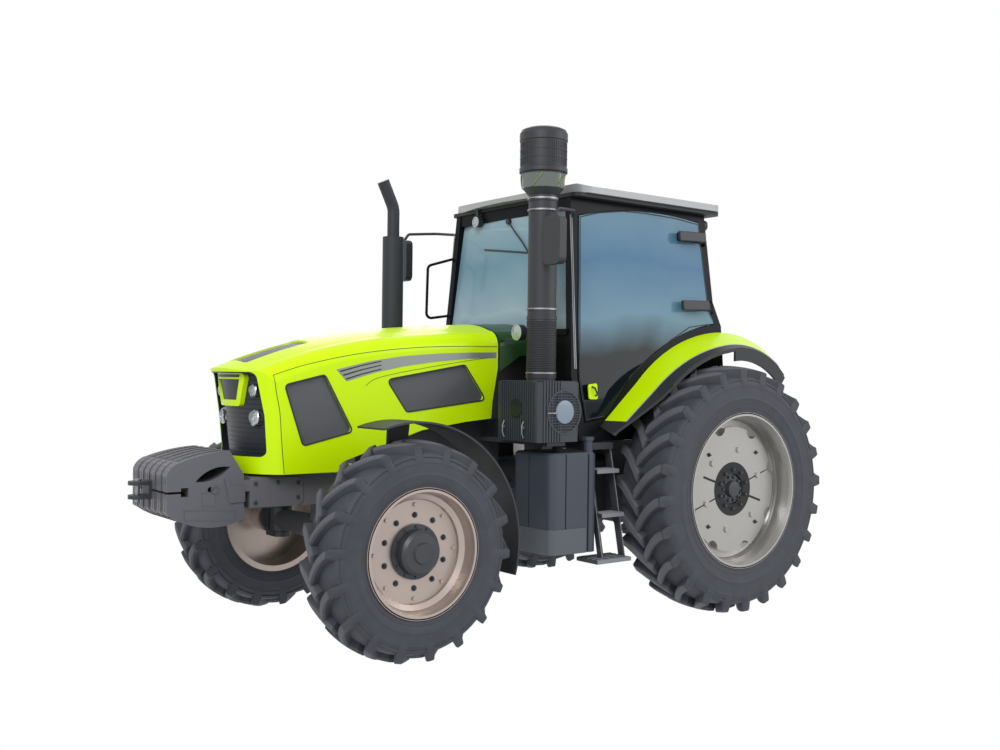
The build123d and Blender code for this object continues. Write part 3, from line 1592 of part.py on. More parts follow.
link_half = link_thickness / 2
link_pin_radius = 14
link_play = 1
ear_thickness = 24
with BuildPart() as link_brackets:
    ear_y = link_pivot_y - link_half - link_play
    with BuildSketch(upright(ear_y)):
        with BuildLine():
            Polyline(
                (fore(link_pivot_x - 50), axle_box_bottom_z),
                (fore(link_pivot_x + 90), axle_box_bottom_z),
                (fore(link_pivot_x + 40), link_pivot_z - 40),
                (fore(link_pivot_x - 40), link_pivot_z - 40),
                close=True,
            )
        make_face()
    extrude(amount=ear_thickness)
    with BuildSketch(upright(link_pivot_y + link_half + link_play + 8)):
        with Locations((fore(link_pivot_x), link_pivot_z)):
            Circle(link_pin_radius)
    extrude(amount=link_thickness + 2 * link_play + 8)
    mirror(about=Plane.XZ)
finish(link_brackets, "link_brackets")

bend_x = link_pivot_x - 200
tail_x = link_pivot_x - link_length + 150
end_x = link_pivot_x - link_length
with BuildPart() as lower_links:
    with BuildSketch(Plane.XY.offset(link_pivot_z)):
        with BuildLine():
            Polyline(
                (fore(link_pivot_x), link_pivot_y - link_half),
                (fore(bend_x), link_pivot_y - link_half),
                (fore(tail_x), link_end_y - link_half),
                (fore(end_x), link_end_y - link_half),
                (fore(end_x), link_end_y + link_half),
                (fore(tail_x), link_end_y + link_half),
                (fore(bend_x), link_pivot_y + link_half),
                (fore(link_pivot_x), link_pivot_y + link_half),
                close=True,
            )
        make_face()
    extrude(amount=link_height / 2, both=True)
    for eye_x, eye_y in ((link_pivot_x, link_pivot_y), (end_x, link_end_y)):
        with BuildSketch(upright(eye_y + link_half)):
            with Locations((fore(eye_x), link_pivot_z)):
                Circle(link_eye_radius)
        extrude(amount=link_thickness)
    with BuildSketch(upright(link_pivot_y + link_half)):
        with Locations((fore(link_pivot_x), link_pivot_z)):
            Circle(link_pin_radius + pin_clearance)
    extrude(amount=link_thickness, mode=Mode.SUBTRACT)
    with BuildSketch(upright(link_end_y + link_half)):
        with Locations((fore(end_x), link_pivot_z)):
            Circle(link_ball_radius)
    extrude(amount=link_thickness, mode=Mode.SUBTRACT)
    mirror(about=Plane.XZ)
finish(lower_links, "lower_links")

arm_thickness = 24
arm_end_x = rockshaft_x - lift_arm_length
arm_end_z = rockshaft_z + 40
rod_pin_radius = 12
rod_eye_radius = 30
rod_eye_thickness = 2 * rod_radius + 2
rod_top_y = lift_arm_y + arm_thickness / 2 + link_play + rod_eye_thickness / 2
with BuildPart() as lift_arms:
    with BuildSketch(upright(lift_arm_y + arm_thickness / 2)):
        with Locations((fore(rockshaft_x), rockshaft_z)):
            Circle(rockshaft_radius + 24)
        with Locations((fore(arm_end_x), arm_end_z)):
            Circle(rod_eye_radius)
        make_hull()
        with Locations((fore(rockshaft_x), rockshaft_z)):
            Circle(rockshaft_radius + pin_clearance, mode=Mode.SUBTRACT)
    extrude(amount=arm_thickness)
    with BuildSketch(upright(rod_top_y + rod_eye_thickness / 2 + 6)):
        with Locations((fore(arm_end_x), arm_end_z)):
            Circle(rod_pin_radius)
    extrude(amount=rod_eye_thickness + 6 + link_play)
    mirror(about=Plane.XZ)
finish(lift_arms, "lift_arms")

rod_foot_x = link_pivot_x - rod_fraction * link_length
rod_foot_y = link_pivot_y + (link_end_y - link_pivot_y) * (bend_x - rod_foot_x) / (bend_x - tail_x)
rod_foot_y = rod_foot_y + link_half + 8 + rod_eye_thickness / 2
with BuildPart() as lift_rods:
    for eye_x, eye_y, eye_z in ((arm_end_x, rod_top_y, arm_end_z), (rod_foot_x, rod_foot_y, link_pivot_z)):
        with BuildSketch(upright(eye_y + rod_eye_thickness / 2)):
            with Locations((fore(eye_x), eye_z)):
                Circle(rod_eye_radius)
        extrude(amount=rod_eye_thickness)
    rod_top = Vector(fore(arm_end_x), rod_top_y, arm_end_z - rod_eye_radius + 6)
    rod_foot = Vector(fore(rod_foot_x), rod_foot_y, link_pivot_z + rod_eye_radius - 6)
    with BuildSketch(Plane(origin=rod_foot, z_dir=rod_top - rod_foot)):
        Circle(rod_radius)
    extrude(amount=(rod_top - rod_foot).length)
    for eye_x, eye_y, eye_z in ((arm_end_x, rod_top_y, arm_end_z), (rod_foot_x, rod_foot_y, link_pivot_z)):
        with BuildSketch(upright(eye_y + rod_eye_thickness / 2)):
            with Locations((fore(eye_x), eye_z)):
                Circle(rod_pin_radius + pin_clearance)
        extrude(amount=rod_eye_thickness, mode=Mode.SUBTRACT)
    mirror(about=Plane.XZ)
finish(lift_rods, "lift_rods")
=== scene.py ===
# %% [markdown]
# A farm tractor, dressed for a studio.
# The solid model brings every rigid piece in its true place. This file gives each one its finish and adds
# the fine pieces that a solid model leaves out, such as tyre bars, wheel nuts, ribs, seams and lamp rings.
# Everything is in metres, with X forward, Y to the driver's left and Z up. Modelling it all here would give
# one mesh, but a part that moves needs its pieces apart and true, so the solid is loaded and not redrawn.

# %% Load the solid model
from math import cos, pi, radians, sin, tan

import bmesh
import bpy
from mathutils import Matrix, Vector
from mathutils.bvhtree import BVHTree


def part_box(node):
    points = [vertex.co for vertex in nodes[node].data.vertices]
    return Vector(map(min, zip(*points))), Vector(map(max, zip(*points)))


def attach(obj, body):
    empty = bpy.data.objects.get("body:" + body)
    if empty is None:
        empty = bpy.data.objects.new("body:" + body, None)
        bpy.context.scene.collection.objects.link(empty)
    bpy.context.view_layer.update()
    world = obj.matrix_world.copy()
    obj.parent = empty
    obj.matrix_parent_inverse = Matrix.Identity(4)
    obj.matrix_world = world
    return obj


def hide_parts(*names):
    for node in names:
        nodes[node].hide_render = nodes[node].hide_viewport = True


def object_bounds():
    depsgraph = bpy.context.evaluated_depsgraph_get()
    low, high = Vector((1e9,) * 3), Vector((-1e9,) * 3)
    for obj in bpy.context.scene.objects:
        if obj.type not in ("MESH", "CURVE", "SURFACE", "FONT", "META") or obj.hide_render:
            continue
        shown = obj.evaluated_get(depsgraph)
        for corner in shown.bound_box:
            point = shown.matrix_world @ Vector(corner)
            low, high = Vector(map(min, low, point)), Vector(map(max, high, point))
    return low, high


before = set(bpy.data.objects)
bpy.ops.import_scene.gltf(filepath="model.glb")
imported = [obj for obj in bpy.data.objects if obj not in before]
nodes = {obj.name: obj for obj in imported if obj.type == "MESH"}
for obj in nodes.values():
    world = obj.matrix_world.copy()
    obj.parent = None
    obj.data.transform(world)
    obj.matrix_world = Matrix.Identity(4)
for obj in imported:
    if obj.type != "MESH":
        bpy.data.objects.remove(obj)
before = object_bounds()
print("nodes:", len(nodes), "overall box:", before)

# %% [markdown]
# A finish changes from place to place, and that change is a sum of places and clouds. Blender can wire such
# a sum by hand, one Math node at a time. This class wraps a socket, so that plus, minus, times and a
# comparison each add their own Math node, and a finish reads like the sum that it is.

# %% Sums on sockets
class Signal:
    """An output socket in a material, on which sums are written."""

    def __init__(self, tree, socket):
        self.tree = tree
        self.socket = socket

    def sum(self, operation, other, swapped=False):
        """Adds one Math node of any kind."""
        node = self.tree.nodes.new("ShaderNodeMath")
        node.operation = operation
        pair = (other, self) if swapped else (self, other)
        for socket, value in zip(node.inputs, pair):
            connect(self.tree, socket, value)
        return Signal(self.tree, node.outputs[0])

    def __add__(self, other):
        return self.sum("ADD", other)

    def __sub__(self, other):
        return self.sum("SUBTRACT", other)

    def __mul__(self, other):
        return self.sum("MULTIPLY", other)

    def __truediv__(self, other):
        return self.sum("DIVIDE", other)

    def __gt__(self, other):
        return self.sum("GREATER_THAN", other)

    def __rsub__(self, other):
        return self.sum("SUBTRACT", other, swapped=True)

    __radd__ = __add__
    __rmul__ = __mul__


def connect(tree, socket, value):
    """A value is typed into a socket, and a signal is linked to it."""
    if isinstance(value, Signal):
        tree.links.new(value.socket, socket)
    else:
        socket.default_value = value


print("reflected operators:", [name for name in vars(Signal) if name.startswith("__r")])

# %% [markdown]
# A finish is a graph of nodes behind the standard shader. It could be wired by hand, but then the wiring
# hides what the finish is. One class adds any node from its type, its settings and its sockets, and has
# short names for what comes back in every finish: a place, a noise, a mix of colours and a relief.

# %% A finish and its nodes
class Finish:
    """A material with the standard shader. Constants are typed into its sockets by name."""

    def __init__(self, name, constants):
        self.material = bpy.data.materials.new(name)
        self.material.use_nodes = True
        self.tree = self.material.node_tree
        self.shader = self.tree.nodes["Principled BSDF"]
        for socket, value in constants.items():
            self.shader.inputs[socket].default_value = value

    def node(self, kind, settings, sockets, output=0):
        """Adds any node: its settings first, then the values or links of its sockets."""
        node = self.tree.nodes.new(kind)
        for setting, value in settings.items():
            if setting == "stops":
                while len(node.color_ramp.elements) < len(value):
                    node.color_ramp.elements.new(0.5)
                for element, (place, colour) in zip(node.color_ramp.elements, value):
                    element.position = place
                    element.color = colour
            else:
                setattr(node, setting, value)
        for socket, value in sockets.items():
            connect(self.tree, node.inputs[socket], value)
        return Signal(self.tree, node.outputs[output])

    def place(self):
        """Where a point lies on its piece, in metres."""
        return self.node("ShaderNodeTexCoord", {}, {}, "Object")

    def apart(self, point):
        """The x, y and z of a place, each ready for sums."""
        split = self.node("ShaderNodeSeparateXYZ", {}, {0: point})
        return [Signal(self.tree, output) for output in split.socket.node.outputs]

    def noise(self, point, scale, detail, distortion=0.0):
        """A cloud between nought and one."""
        sockets = {"Vector": point, "Scale": scale, "Detail": detail, "Distortion": distortion}
        return self.node("ShaderNodeTexNoise", {}, sockets)

    def drive(self, socket, signal):
        """Feeds one of the shader's sockets."""
        connect(self.tree, self.shader.inputs[socket], signal)

    def bump(self, height, distance):
        """Small relief, with its depth in metres."""
        self.drive("Normal", self.node("ShaderNodeBump", {}, {"Height": height, "Distance": distance}))

    def blend(self, factor, first, second):
        """Two colours mixed by a factor."""
        settings = {"data_type": "RGBA"}
        return self.node("ShaderNodeMix", settings, {0: factor, 6: first, 7: second}, 2)


print("finish tools:", len([name for name in vars(Finish) if not name.startswith("_")]))

# %% [markdown]
# A painter names a colour from 0 to 255, but Blender sums light, which is not even to the eye. Typing the
# light in by hand is guesswork, so colours are written the painter's way and turned into light here.

# %% Colours
def rgb(red, green, blue):
    """A colour as a painter names it, 0 to 255, turned into light."""
    def light(level):
        level /= 255
        return level / 12.92 if level <= 0.04045 else ((level + 0.055) / 1.055) ** 2.4
    return (light(red), light(green), light(blue), 1.0)


def darker(colour, share):
    """The same colour with a share of its light."""
    return tuple(share * level for level in colour[:3]) + (1.0,)


print("middle grey is light of", round(rgb(128, 128, 128)[0], 3))

# %% [markdown]
# Sheet metal and castings are sprayed. Gloss paint could be one colour and one roughness, but a large panel
# then looks like plastic. Here a thin clear coat lies over the colour, a wide faint noise changes the
# gloss, and rough castings get a fine orange peel as relief.

# %% Paints
def paint(name, colour, roughness=0.35, coat=0.5, speckle=0.0, metallic=0.0, shine=0.3):
    """A sprayed finish: wide, faint changes of gloss, and a fine orange peel if asked."""
    constants = {"Base Color": colour, "Metallic": metallic, "Coat Weight": coat, "Coat Roughness": 0.12}
    constants["Specular IOR Level"] = shine
    finish = Finish(name, constants)
    point = finish.place()
    finish.drive("Roughness", finish.noise(point, 2.5, 3.0) * 0.12 + (roughness - 0.06))
    if speckle:
        finish.bump(finish.noise(point, 220.0, 2.0), speckle)
    return finish.material


lime = paint("lime_gloss", rgb(198, 236, 2), 0.34, 0.15, shine=0.15)
# A dark green copy of the lime, used on the cowl as painted shade.
lime_painted_shade = paint("deep_green_gloss", rgb(30, 66, 30), 0.35, 0.2)
cab_black = paint("cab_black", rgb(15, 17, 21), 0.34, 0.02, shine=0.08)
chassis_grey = paint("chassis_grey", rgb(52, 54, 59), 0.5, 0.1, 0.0004)
support_grey = paint("support_grey", rgb(98, 98, 103), 0.45, 0.15, 0.0006)
weight_grey = paint("weight_grey", rgb(92, 92, 100), 0.46, 0.15, 0.0009)
guard_grey = paint("guard_grey", rgb(82, 87, 95), 0.45, 0.1, 0.0004)
tread_grey = paint("tread_grey", rgb(128, 130, 136), 0.5, 0.0, 0.0004)
pale_trim = paint("pale_trim", rgb(150, 156, 160), 0.4, 0.2)
roof_grey = paint("roof_grey", rgb(160, 161, 163), 0.4, 0.2)
silver = paint("silver_stripe", rgb(134, 140, 134), 0.32, 0.4, metallic=0.35)
front_wheel_cream = paint("front_wheel_cream", rgb(176, 163, 156), 0.3, 0.2, 0.0003, metallic=0.7)
rear_wheel_cream = paint("rear_wheel_cream", rgb(168, 166, 163), 0.3, 0.2, 0.0003, metallic=0.7)
muffler_black = paint("muffler_black", rgb(44, 47, 54), 0.5, 0.0, 0.0003)
vane_green = paint("vane_green", rgb(112, 134, 62), 0.4, 0.3)
disc_blue = paint("disc_blue", rgb(122, 136, 150), 0.35, 0.3)
disc_dark = paint("disc_dark", rgb(26, 34, 34), 0.4, 0.1)
# Painted shade for the recess round each rear hub and its two slots.
recess_black = paint("recess_black", rgb(26, 28, 32), 0.55, 0.0)
print("materials so far, with the solid's own:", len(bpy.data.materials))

# %% [markdown]
# Tank, boxes, trims and seals are moulded plastic or rubber, which has no clear coat. A fine grain as
# relief breaks the sheen, and that is cheaper and cleaner than modelling the grain.

# %% Moulded plastics
def moulded(name, colour, roughness):
    """Grained plastic or rubber."""
    finish = Finish(name, {"Base Color": colour, "Roughness": roughness, "Specular IOR Level": 0.4})
    finish.bump(finish.noise(finish.place(), 350.0, 2.0), 0.0003)
    return finish.material


black_plastic = moulded("black_plastic", rgb(42, 44, 49), 0.48)
tank_plastic = moulded("tank_plastic", rgb(58, 64, 74), 0.4)
box_plastic = moulded("box_plastic", rgb(50, 55, 62), 0.42)
trim_rubber = moulded("trim_rubber", rgb(40, 41, 44), 0.58)
sleeve_rubber = moulded("sleeve_rubber", rgb(38, 40, 46), 0.5)
interior_black = moulded("interior_black", rgb(34, 36, 40), 0.6)
grille_black = moulded("grille_black", rgb(30, 34, 42), 0.4)
print("materials with the plastics:", len(bpy.data.materials))

# %% [markdown]
# The side vents are punched sheet. Thousands of real holes would cost far more than they show, so two sets
# of sine waves, multiplied, lay out the holes as dark dots and as relief.

# %% Punched sheet of the vents
def punched_sheet(name, colour, gap, pitch):
    """A sheet with rows of holes an even pitch apart."""
    finish = Finish(name, {"Roughness": 0.45, "Metallic": 0.2})
    point = finish.place()
    x, y, z = finish.apart(point)
    waves = [(way * (2 * pi / pitch)).sum("SINE", 0.0) for way in (x, z)]
    holes = (waves[0] * waves[1] > 0.15) * 0.75
    sheet = finish.blend(finish.noise(point, 4.0, 3.0), colour, darker(colour, 0.72))
    finish.drive("Base Color", finish.blend(holes, sheet, gap))
    finish.bump(1.0 - holes, 0.0008)
    return finish.material


hole_pitch = 0.007
vent_mesh = punched_sheet("vent_mesh", rgb(98, 101, 107), rgb(44, 46, 51), hole_pitch)
print("hole pitch in millimetres:", round(hole_pitch * 1000))

# %% [markdown]
# Tyre rubber is dusty, and the tops of its bars carry a painted highlight, paler than the gaps. Painting
# that by hand would not fit a wheel that turns, so the distance from the axle tells the tops from the gaps.

# %% Tyre rubber
def tyre_rubber(name, highlight_from):
    """Dusty rubber round an axle, with a painted highlight outside a radius."""
    finish = Finish(name, {"Specular IOR Level": 0.35})
    point = finish.place()
    x, y, z = finish.apart(point)
    dust_and_highlight = finish.noise(point, 9.0, 6.0)
    radius = (x * x + z * z).sum("SQRT", 0.0)
    # Painted highlight: the bar tops outside a radius are mixed towards a pale grey.
    painted_highlight = (radius > highlight_from) * (0.35 + 0.4 * dust_and_highlight)
    rubber = finish.blend(dust_and_highlight, rgb(46, 48, 55), rgb(70, 73, 82))
    finish.drive("Base Color", finish.blend(painted_highlight, rubber, rgb(98, 100, 106)))
    finish.drive("Roughness", dust_and_highlight * 0.2 + 0.55)
    finish.bump(finish.noise(point, 160.0, 2.0), 0.0006)
    return finish.material


tyre_black = tyre_rubber("tyre_rubber", 2.0)
rubber_of = {
    # painted highlight down to 20 and 24 mm below each tyre's radius
    "front": tyre_rubber("rubber_front", 0.677 - 0.02), "rear": tyre_rubber("rubber_rear", 0.921 - 0.024),
}
print("tyre finishes:", 1 + len(rubber_of))

# %% [markdown]
# Bare metal and lenses are even, but never perfectly so. A faint cloud in colour and gloss, as a wiping
# cloth leaves, keeps small bright pieces from looking like flat paint.

# %% Metal and lenses
def wiped(name, colour, roughness, metallic=0.0, extra=None):
    """A finish whose colour and gloss change faintly."""
    finish = Finish(name, {"Metallic": metallic, **(extra or {})})
    cloud = finish.noise(finish.place(), 14.0, 4.0)
    finish.drive("Base Color", finish.blend(cloud, colour, darker(colour, 0.86)))
    finish.drive("Roughness", cloud * (0.3 * roughness) + 0.85 * roughness)
    return finish.material


bright_steel = wiped("bright_steel", rgb(196, 198, 200), 0.28, 1.0)
dull_steel = wiped("dull_steel", rgb(150, 152, 156), 0.42, 0.9)
hub_steel = wiped("hub_steel", rgb(62, 65, 70), 0.42, 0.4)
mirror_glass = wiped("mirror_glass", rgb(210, 215, 220), 0.03, 1.0)
lamp_glass = wiped("lamp_glass", rgb(120, 126, 132), 0.2, 0.6, {"Coat Weight": 1.0})
lamp_lens = wiped("lamp_lens", rgb(156, 168, 174), 0.14, 0.35, {"Coat Weight": 1.0})
smoky_bowl = wiped("smoky_bowl", rgb(116, 128, 122), 0.12, 0.0, {"Alpha": 0.62, "Coat Weight": 0.8})
amber = wiped("amber_lens", rgb(240, 138, 20), 0.25, 0.0, {"Coat Weight": 0.6})
red_lens = wiped("red_lens", rgb(190, 22, 20), 0.25, 0.0, {"Coat Weight": 0.6})
seam_dark = wiped("seam_dark", rgb(22, 24, 20), 0.6)
print("materials with metals and lenses:", len(bpy.data.materials))

# %% [markdown]
# Cab glass is tinted and coated. True glass would need a whole sky around it to look like glass, so
# the sky's reflection is painted into its colour: a painted shade at the foot, and a pale band and blue
# above as painted reflection. The foot lets less light through, and painted shade darkens the glass
# near the rear wing.

# %% Glass with painted reflection and painted shade
def tinted_pane(name, low, middle, high, cover):
    """Glass whose colour holds painted shade and painted reflection, with how much of what lies behind it is
    covered in its clearest part.
    """
    constants = {"Roughness": 0.06, "Coat Weight": 0.12, "Coat Roughness": 0.03, "Specular IOR Level": 0.1}
    finish = Finish(name, constants)
    point = finish.place()
    x, y, z = finish.apart(point)
    height = (z - 1.42) / 1.6
    cloud = finish.noise(point, 1.4, 2.0, 0.8)
    level = (height + (cloud - 0.5) * 0.22).sum("MAXIMUM", 0.0)
    # Painted shade at the foot, then a pale band and blue above as painted reflection of the sky.
    stops = [(0.0, low), (0.3, low), (0.5, middle), (0.74, high), (1.0, middle)]
    finish.drive("Base Color", finish.node("ShaderNodeValToRGB", {"stops": stops}, {"Fac": level}))
    wheel_x, wheel_z = x + 1.42, z - 0.921
    arch = (wheel_x * wheel_x + wheel_z * wheel_z).sum("SQRT", 0.0)
    # Painted shade: the pane turns more opaque near the rear wing and at its dark foot.
    wing_painted_shade = ((1.34 - arch) * 9.0).sum("MINIMUM", 1.0).sum("MAXIMUM", 0.0)
    below = ((0.52 - level) * 5.0).sum("MINIMUM", 1.0).sum("MAXIMUM", 0.0)
    finish.drive("Alpha", wing_painted_shade.sum("MAXIMUM", below) * (0.985 - cover) + cover)
    return finish.material


# Both panes carry painted shade and painted reflection in their colours.
door_pane = tinted_pane("door_pane", rgb(10, 20, 26), rgb(100, 136, 156), rgb(66, 110, 144), 0.9)
pane = tinted_pane("tinted_pane", rgb(60, 88, 92), rgb(178, 204, 216), rgb(128, 166, 188), 0.62)
print("pane finishes:", door_pane.name, pane.name)

# %% [markdown]
# The seat is covered in woven cloth. Two crossed sets of fine waves give the weave as relief, which is
# enough for cloth that is seen through glass.

# %% Seat cloth
def seat_cloth():
    """Woven cloth: two crossed sets of fine waves."""
    finish = Finish("seat_cloth", {"Base Color": rgb(48, 50, 56), "Roughness": 0.85})
    weave = {"Vector": finish.place(), "Scale": 140.0, "Distortion": 0.4}
    across = finish.node("ShaderNodeTexWave", {"bands_direction": "X"}, weave)
    upward = finish.node("ShaderNodeTexWave", {"bands_direction": "Z"}, weave)
    finish.bump(across + upward, 0.0008)
    return finish.material


cloth = seat_cloth()
print("materials in all, with the solid's own:", len(bpy.data.materials))

# %% [markdown]
# Every solid node gets its finish from one table, so that a part's look is changed in one place. Picking
# finishes by hand in the material tab would do the same, but nobody could read afterwards what was picked.

# %% Finishes of the solid nodes
hands = {"left": 1, "right": -1}
finish_of = {
    "bonnet": lime, "rear_fenders": lime,
    # The cowl takes the dark copy of the lime as painted shade.
    "cowl": lime_painted_shade, "cab_floor": cab_black,
    "cab_frame": cab_black, "door_hinge_mounts": cab_black, "grab_rail": cab_black,
    "front_weights": weight_grey,
    "front_axle": chassis_grey, "front_bracket": support_grey, "engine_block": chassis_grey,
    "transmission": chassis_grey, "rear_axle": chassis_grey, "chassis_brackets": chassis_grey,
    "steps": chassis_grey, "drawbar": chassis_grey, "link_brackets": chassis_grey,
    "lower_links": chassis_grey, "lift_arms": chassis_grey, "lift_rods": chassis_grey,
    "tow_clevis": chassis_grey, "tow_pin": dull_steel,
    "side_vents": vent_mesh, "grille": grille_black, "fender_edges": trim_rubber,
    "fuel_tank": tank_plastic, "battery_box": tank_plastic, "air_cleaner": box_plastic,
    "intake_stack": black_plastic, "precleaner": black_plastic, "mirrors": black_plastic,
    "seat_base": interior_black, "steering_console": interior_black, "roof_liner": interior_black,
    "cab_glass": pane, "cab_roof": roof_grey, "headlamps": lamp_glass, "lamps": black_plastic,
    "exhaust": muffler_black, "seat": cloth,
}
for side in hands:
    finish_of["tyre_front_" + side] = tyre_black
    finish_of["tyre_rear_" + side] = tyre_black
    finish_of["rim_front_" + side] = front_wheel_cream
    finish_of["rim_rear_" + side] = rear_wheel_cream
    finish_of["hub_front_" + side] = hub_steel
    finish_of["hub_rear_" + side] = hub_steel
    finish_of["door_" + side] = cab_black
    finish_of["door_glass_" + side] = door_pane
    finish_of["knuckle_" + side] = chassis_grey
    finish_of["front_fender_" + side] = black_plastic
for name, node in nodes.items():
    node.data.materials.clear()
    node.data.materials.append(finish_of[name])
print("finished:", len(finish_of), "of", len(nodes))

# %% [markdown]

# %% [markdown]
# Fine pieces are built from four closed forms: rows of points joined by quads, a pushed outline, a turned
# profile and a bar along a path. Modifiers on plain cubes could give some of them, but the forms here keep
# each shape's own numbers in sight, and a piece that moves with a body is made in one line.

# %% A bench to make meshes on
class Work:
    """Points and faces of one piece, gathered from closed forms."""

    def __init__(self):
        self.points = []
        self.faces = []

    def rows(self, rows, around=True, lengthwise=False):
        """Joins equal rows of points with quads. Open ends are capped."""
        start, count = len(self.points), len(rows[0])
        self.points += [Vector(point) for row in rows for point in row]
        for a in range(len(rows) - (not lengthwise)):
            b = (a + 1) % len(rows)
            for i in range(count - (not around)):
                j = (i + 1) % count
                quad = (a * count + i, a * count + j, b * count + j, b * count + i)
                self.faces.append([start + k for k in quad])
        if around and not lengthwise:
            self.faces.append([start + i for i in range(count)][::-1])
            self.faces.append([start + (len(rows) - 1) * count + i for i in range(count)])

    def prism(self, outline, step):
        """A flat outline pushed along a vector."""
        self.rows([outline, [Vector(point) + Vector(step) for point in outline]])

    def box(self, low, high):
        """A box between its lowest and highest corner."""
        (x0, y0, z0), (x1, y1, z1) = low, high
        self.prism([(x0, y0, z0), (x1, y0, z0), (x1, y1, z0), (x0, y1, z0)], (0, 0, z1 - z0))

    def turned(self, profile, centre, axis, sides=48):
        """A closed profile of (distance along, radius) turned about an axis."""
        along = Vector(axis).normalized()
        first = along.orthogonal().normalized()
        second = along.cross(first)
        rows = []
        for k in range(sides):
            out = first * cos(2 * pi * k / sides) + second * sin(2 * pi * k / sides)
            rows.append([Vector(centre) + along * distance + out * radius for distance, radius in profile])
        self.rows(rows, lengthwise=True)

    def tube(self, path, radius, sides=10):
        """A round bar along a path, with the turn of its section carried from point to point."""
        path = [Vector(point) for point in path]
        side = (path[1] - path[0]).orthogonal().normalized()
        rows = []
        for k, point in enumerate(path):
            ahead = (path[min(k + 1, len(path) - 1)] - path[max(k - 1, 0)]).normalized()
            side = (side - ahead * side.dot(ahead)).normalized()
            up = ahead.cross(side)
            turns = [2 * pi * i / sides for i in range(sides)]
            rows.append([point + (side * cos(turn) + up * sin(turn)) * radius for turn in turns])
        self.rows(rows)

    def made(self, name, finish, body, bevel=0.0, crease=35.0, stands_for=()):
        """Turns what was gathered into a piece that moves with a body."""
        sheet = bmesh.new()
        corners = [sheet.verts.new(point) for point in self.points]
        for face in self.faces:
            sheet.faces.new([corners[i] for i in face])
        bmesh.ops.remove_doubles(sheet, verts=sheet.verts, dist=0.00002)
        bmesh.ops.recalc_face_normals(sheet, faces=sheet.faces)
        mesh = bpy.data.meshes.new(name)
        sheet.to_mesh(mesh)
        sheet.free()
        mesh.polygons.foreach_set("use_smooth", [True] * len(mesh.polygons))
        mesh.set_sharp_from_angle(angle=radians(crease))
        mesh.materials.append(finish)
        piece = bpy.data.objects.new(name, mesh)
        bpy.context.scene.collection.objects.link(piece)
        if bevel:
            rounding = piece.modifiers.new("rounding", "BEVEL")
            rounding.width = bevel
            rounding.segments = 2
            rounding.angle_limit = radians(50)
        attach(piece, body)
        if stands_for:
            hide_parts(*stands_for)
        return piece


print("forms and steps of the bench:", len([name for name in vars(Work) if not name.startswith("_")]))

# %% [markdown]
# Seams, trims and stripes lie on curved sheet metal. Blender's shrinkwrap could press them on, but it keeps
# no count of what it missed. A ray from the side or the front finds the surface point by point, so that a
# trim follows it, a missed point is left out, and the same rays serve the right-hand side.

# %% Rays onto the solid
trees = {}


def surface(names, start, direction):
    """The first point and its normal where a ray meets one of the named nodes."""
    best = None
    for name in names:
        if name not in trees:
            mesh = nodes[name].data
            corners = [corner.co for corner in mesh.vertices]
            trees[name] = BVHTree.FromPolygons(corners, [face.vertices[:] for face in mesh.polygons])
        place, normal, index, reach = trees[name].ray_cast(Vector(start), Vector(direction))
        if place is not None and (best is None or reach < best[2]):
            best = (place, normal, reach)
    if best is None:
        return None
    normal = best[1] if best[1].dot(Vector(direction)) < 0 else -best[1]
    return best[0], normal


def from_side(names, corners, hand):
    """Points of a node's flank below each (x, z), seen square from the side, each with its normal."""
    found = [surface(names, (x, hand * 3.0, z), (0, -hand, 0)) for x, z in corners]
    return [spot for spot in found if spot]


def from_front(names, corners, away=4.0):
    """Points behind each (y, z), seen square from the front, each with its normal."""
    found = [surface(names, (away, y, z), (-1, 0, 0)) for y, z in corners]
    return [spot for spot in found if spot]


def places(spots):
    """Points found by rays, without their normals."""
    return [place for place, normal in spots]


def corners_of(name):
    """The lowest and highest corner of a solid node."""
    low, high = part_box(name)
    return Vector(low), Vector(high)


def middle_of(name):
    """The middle of a solid node's box."""
    low, high = corners_of(name)
    return (low + high) / 2


print("bonnet from end to end:", [round(corner.x, 3) for corner in corners_of("bonnet")])

# %% [markdown]
# Panels, trims and seals are drawn as a few corners in side view. These helpers turn such corners into a
# smooth line, a rounded outline or an even one. Curve objects could do it too, but their points would
# have to be read back before the rays can use them.

# %% Lines and outlines
def smooth_path(points, steps):
    """A smooth line through every point."""
    points = [Vector(point) for point in points]
    line = []
    for k in range(len(points) - 1):
        before_it, here = points[max(k - 1, 0)], points[k]
        there, after_it = points[k + 1], points[min(k + 2, len(points) - 1)]
        for step in range(steps):
            t = step / steps
            line.append(0.5 * (2 * here + (there - before_it) * t
                               + (2 * before_it - 5 * here + 4 * there - after_it) * t * t
                               + (3 * here - before_it - 3 * there + after_it) * t ** 3))
    return line + [points[-1]]


def along(line, share):
    """The point at a share of the way along a line of (x, z)."""
    spans = [(Vector(b) - Vector(a)).length for a, b in zip(line, line[1:])]
    reach = share * sum(spans)
    for k, span in enumerate(spans):
        if reach <= span + 1e-9 or k == len(spans) - 1:
            return Vector(line[k]).lerp(Vector(line[k + 1]), min(reach / span, 1.0))
        reach -= span


def rounded(corners, radius, steps=6):
    """A closed outline with its corners rounded."""
    line = []
    count = len(corners)
    for k in range(count):
        here = Vector(corners[k])
        back = (Vector(corners[k - 1]) - here).normalized()
        on = (Vector(corners[(k + 1) % count]) - here).normalized()
        reach = radius / tan(back.angle(on) / 2)
        for step in range(steps + 1):
            t = step / steps
            line.append(here + back * reach * (1 - t) ** 2 + on * reach * t * t)
    return line


def densified(corners, pitch=0.03):
    """The same closed outline with points at an even pitch."""
    line = []
    for a, b in zip(corners, corners[1:] + corners[:1]):
        a, b = Vector(a), Vector(b)
        parts = max(1, int((b - a).length / pitch))
        line += [a.lerp(b, k / parts) for k in range(parts)]
    return line


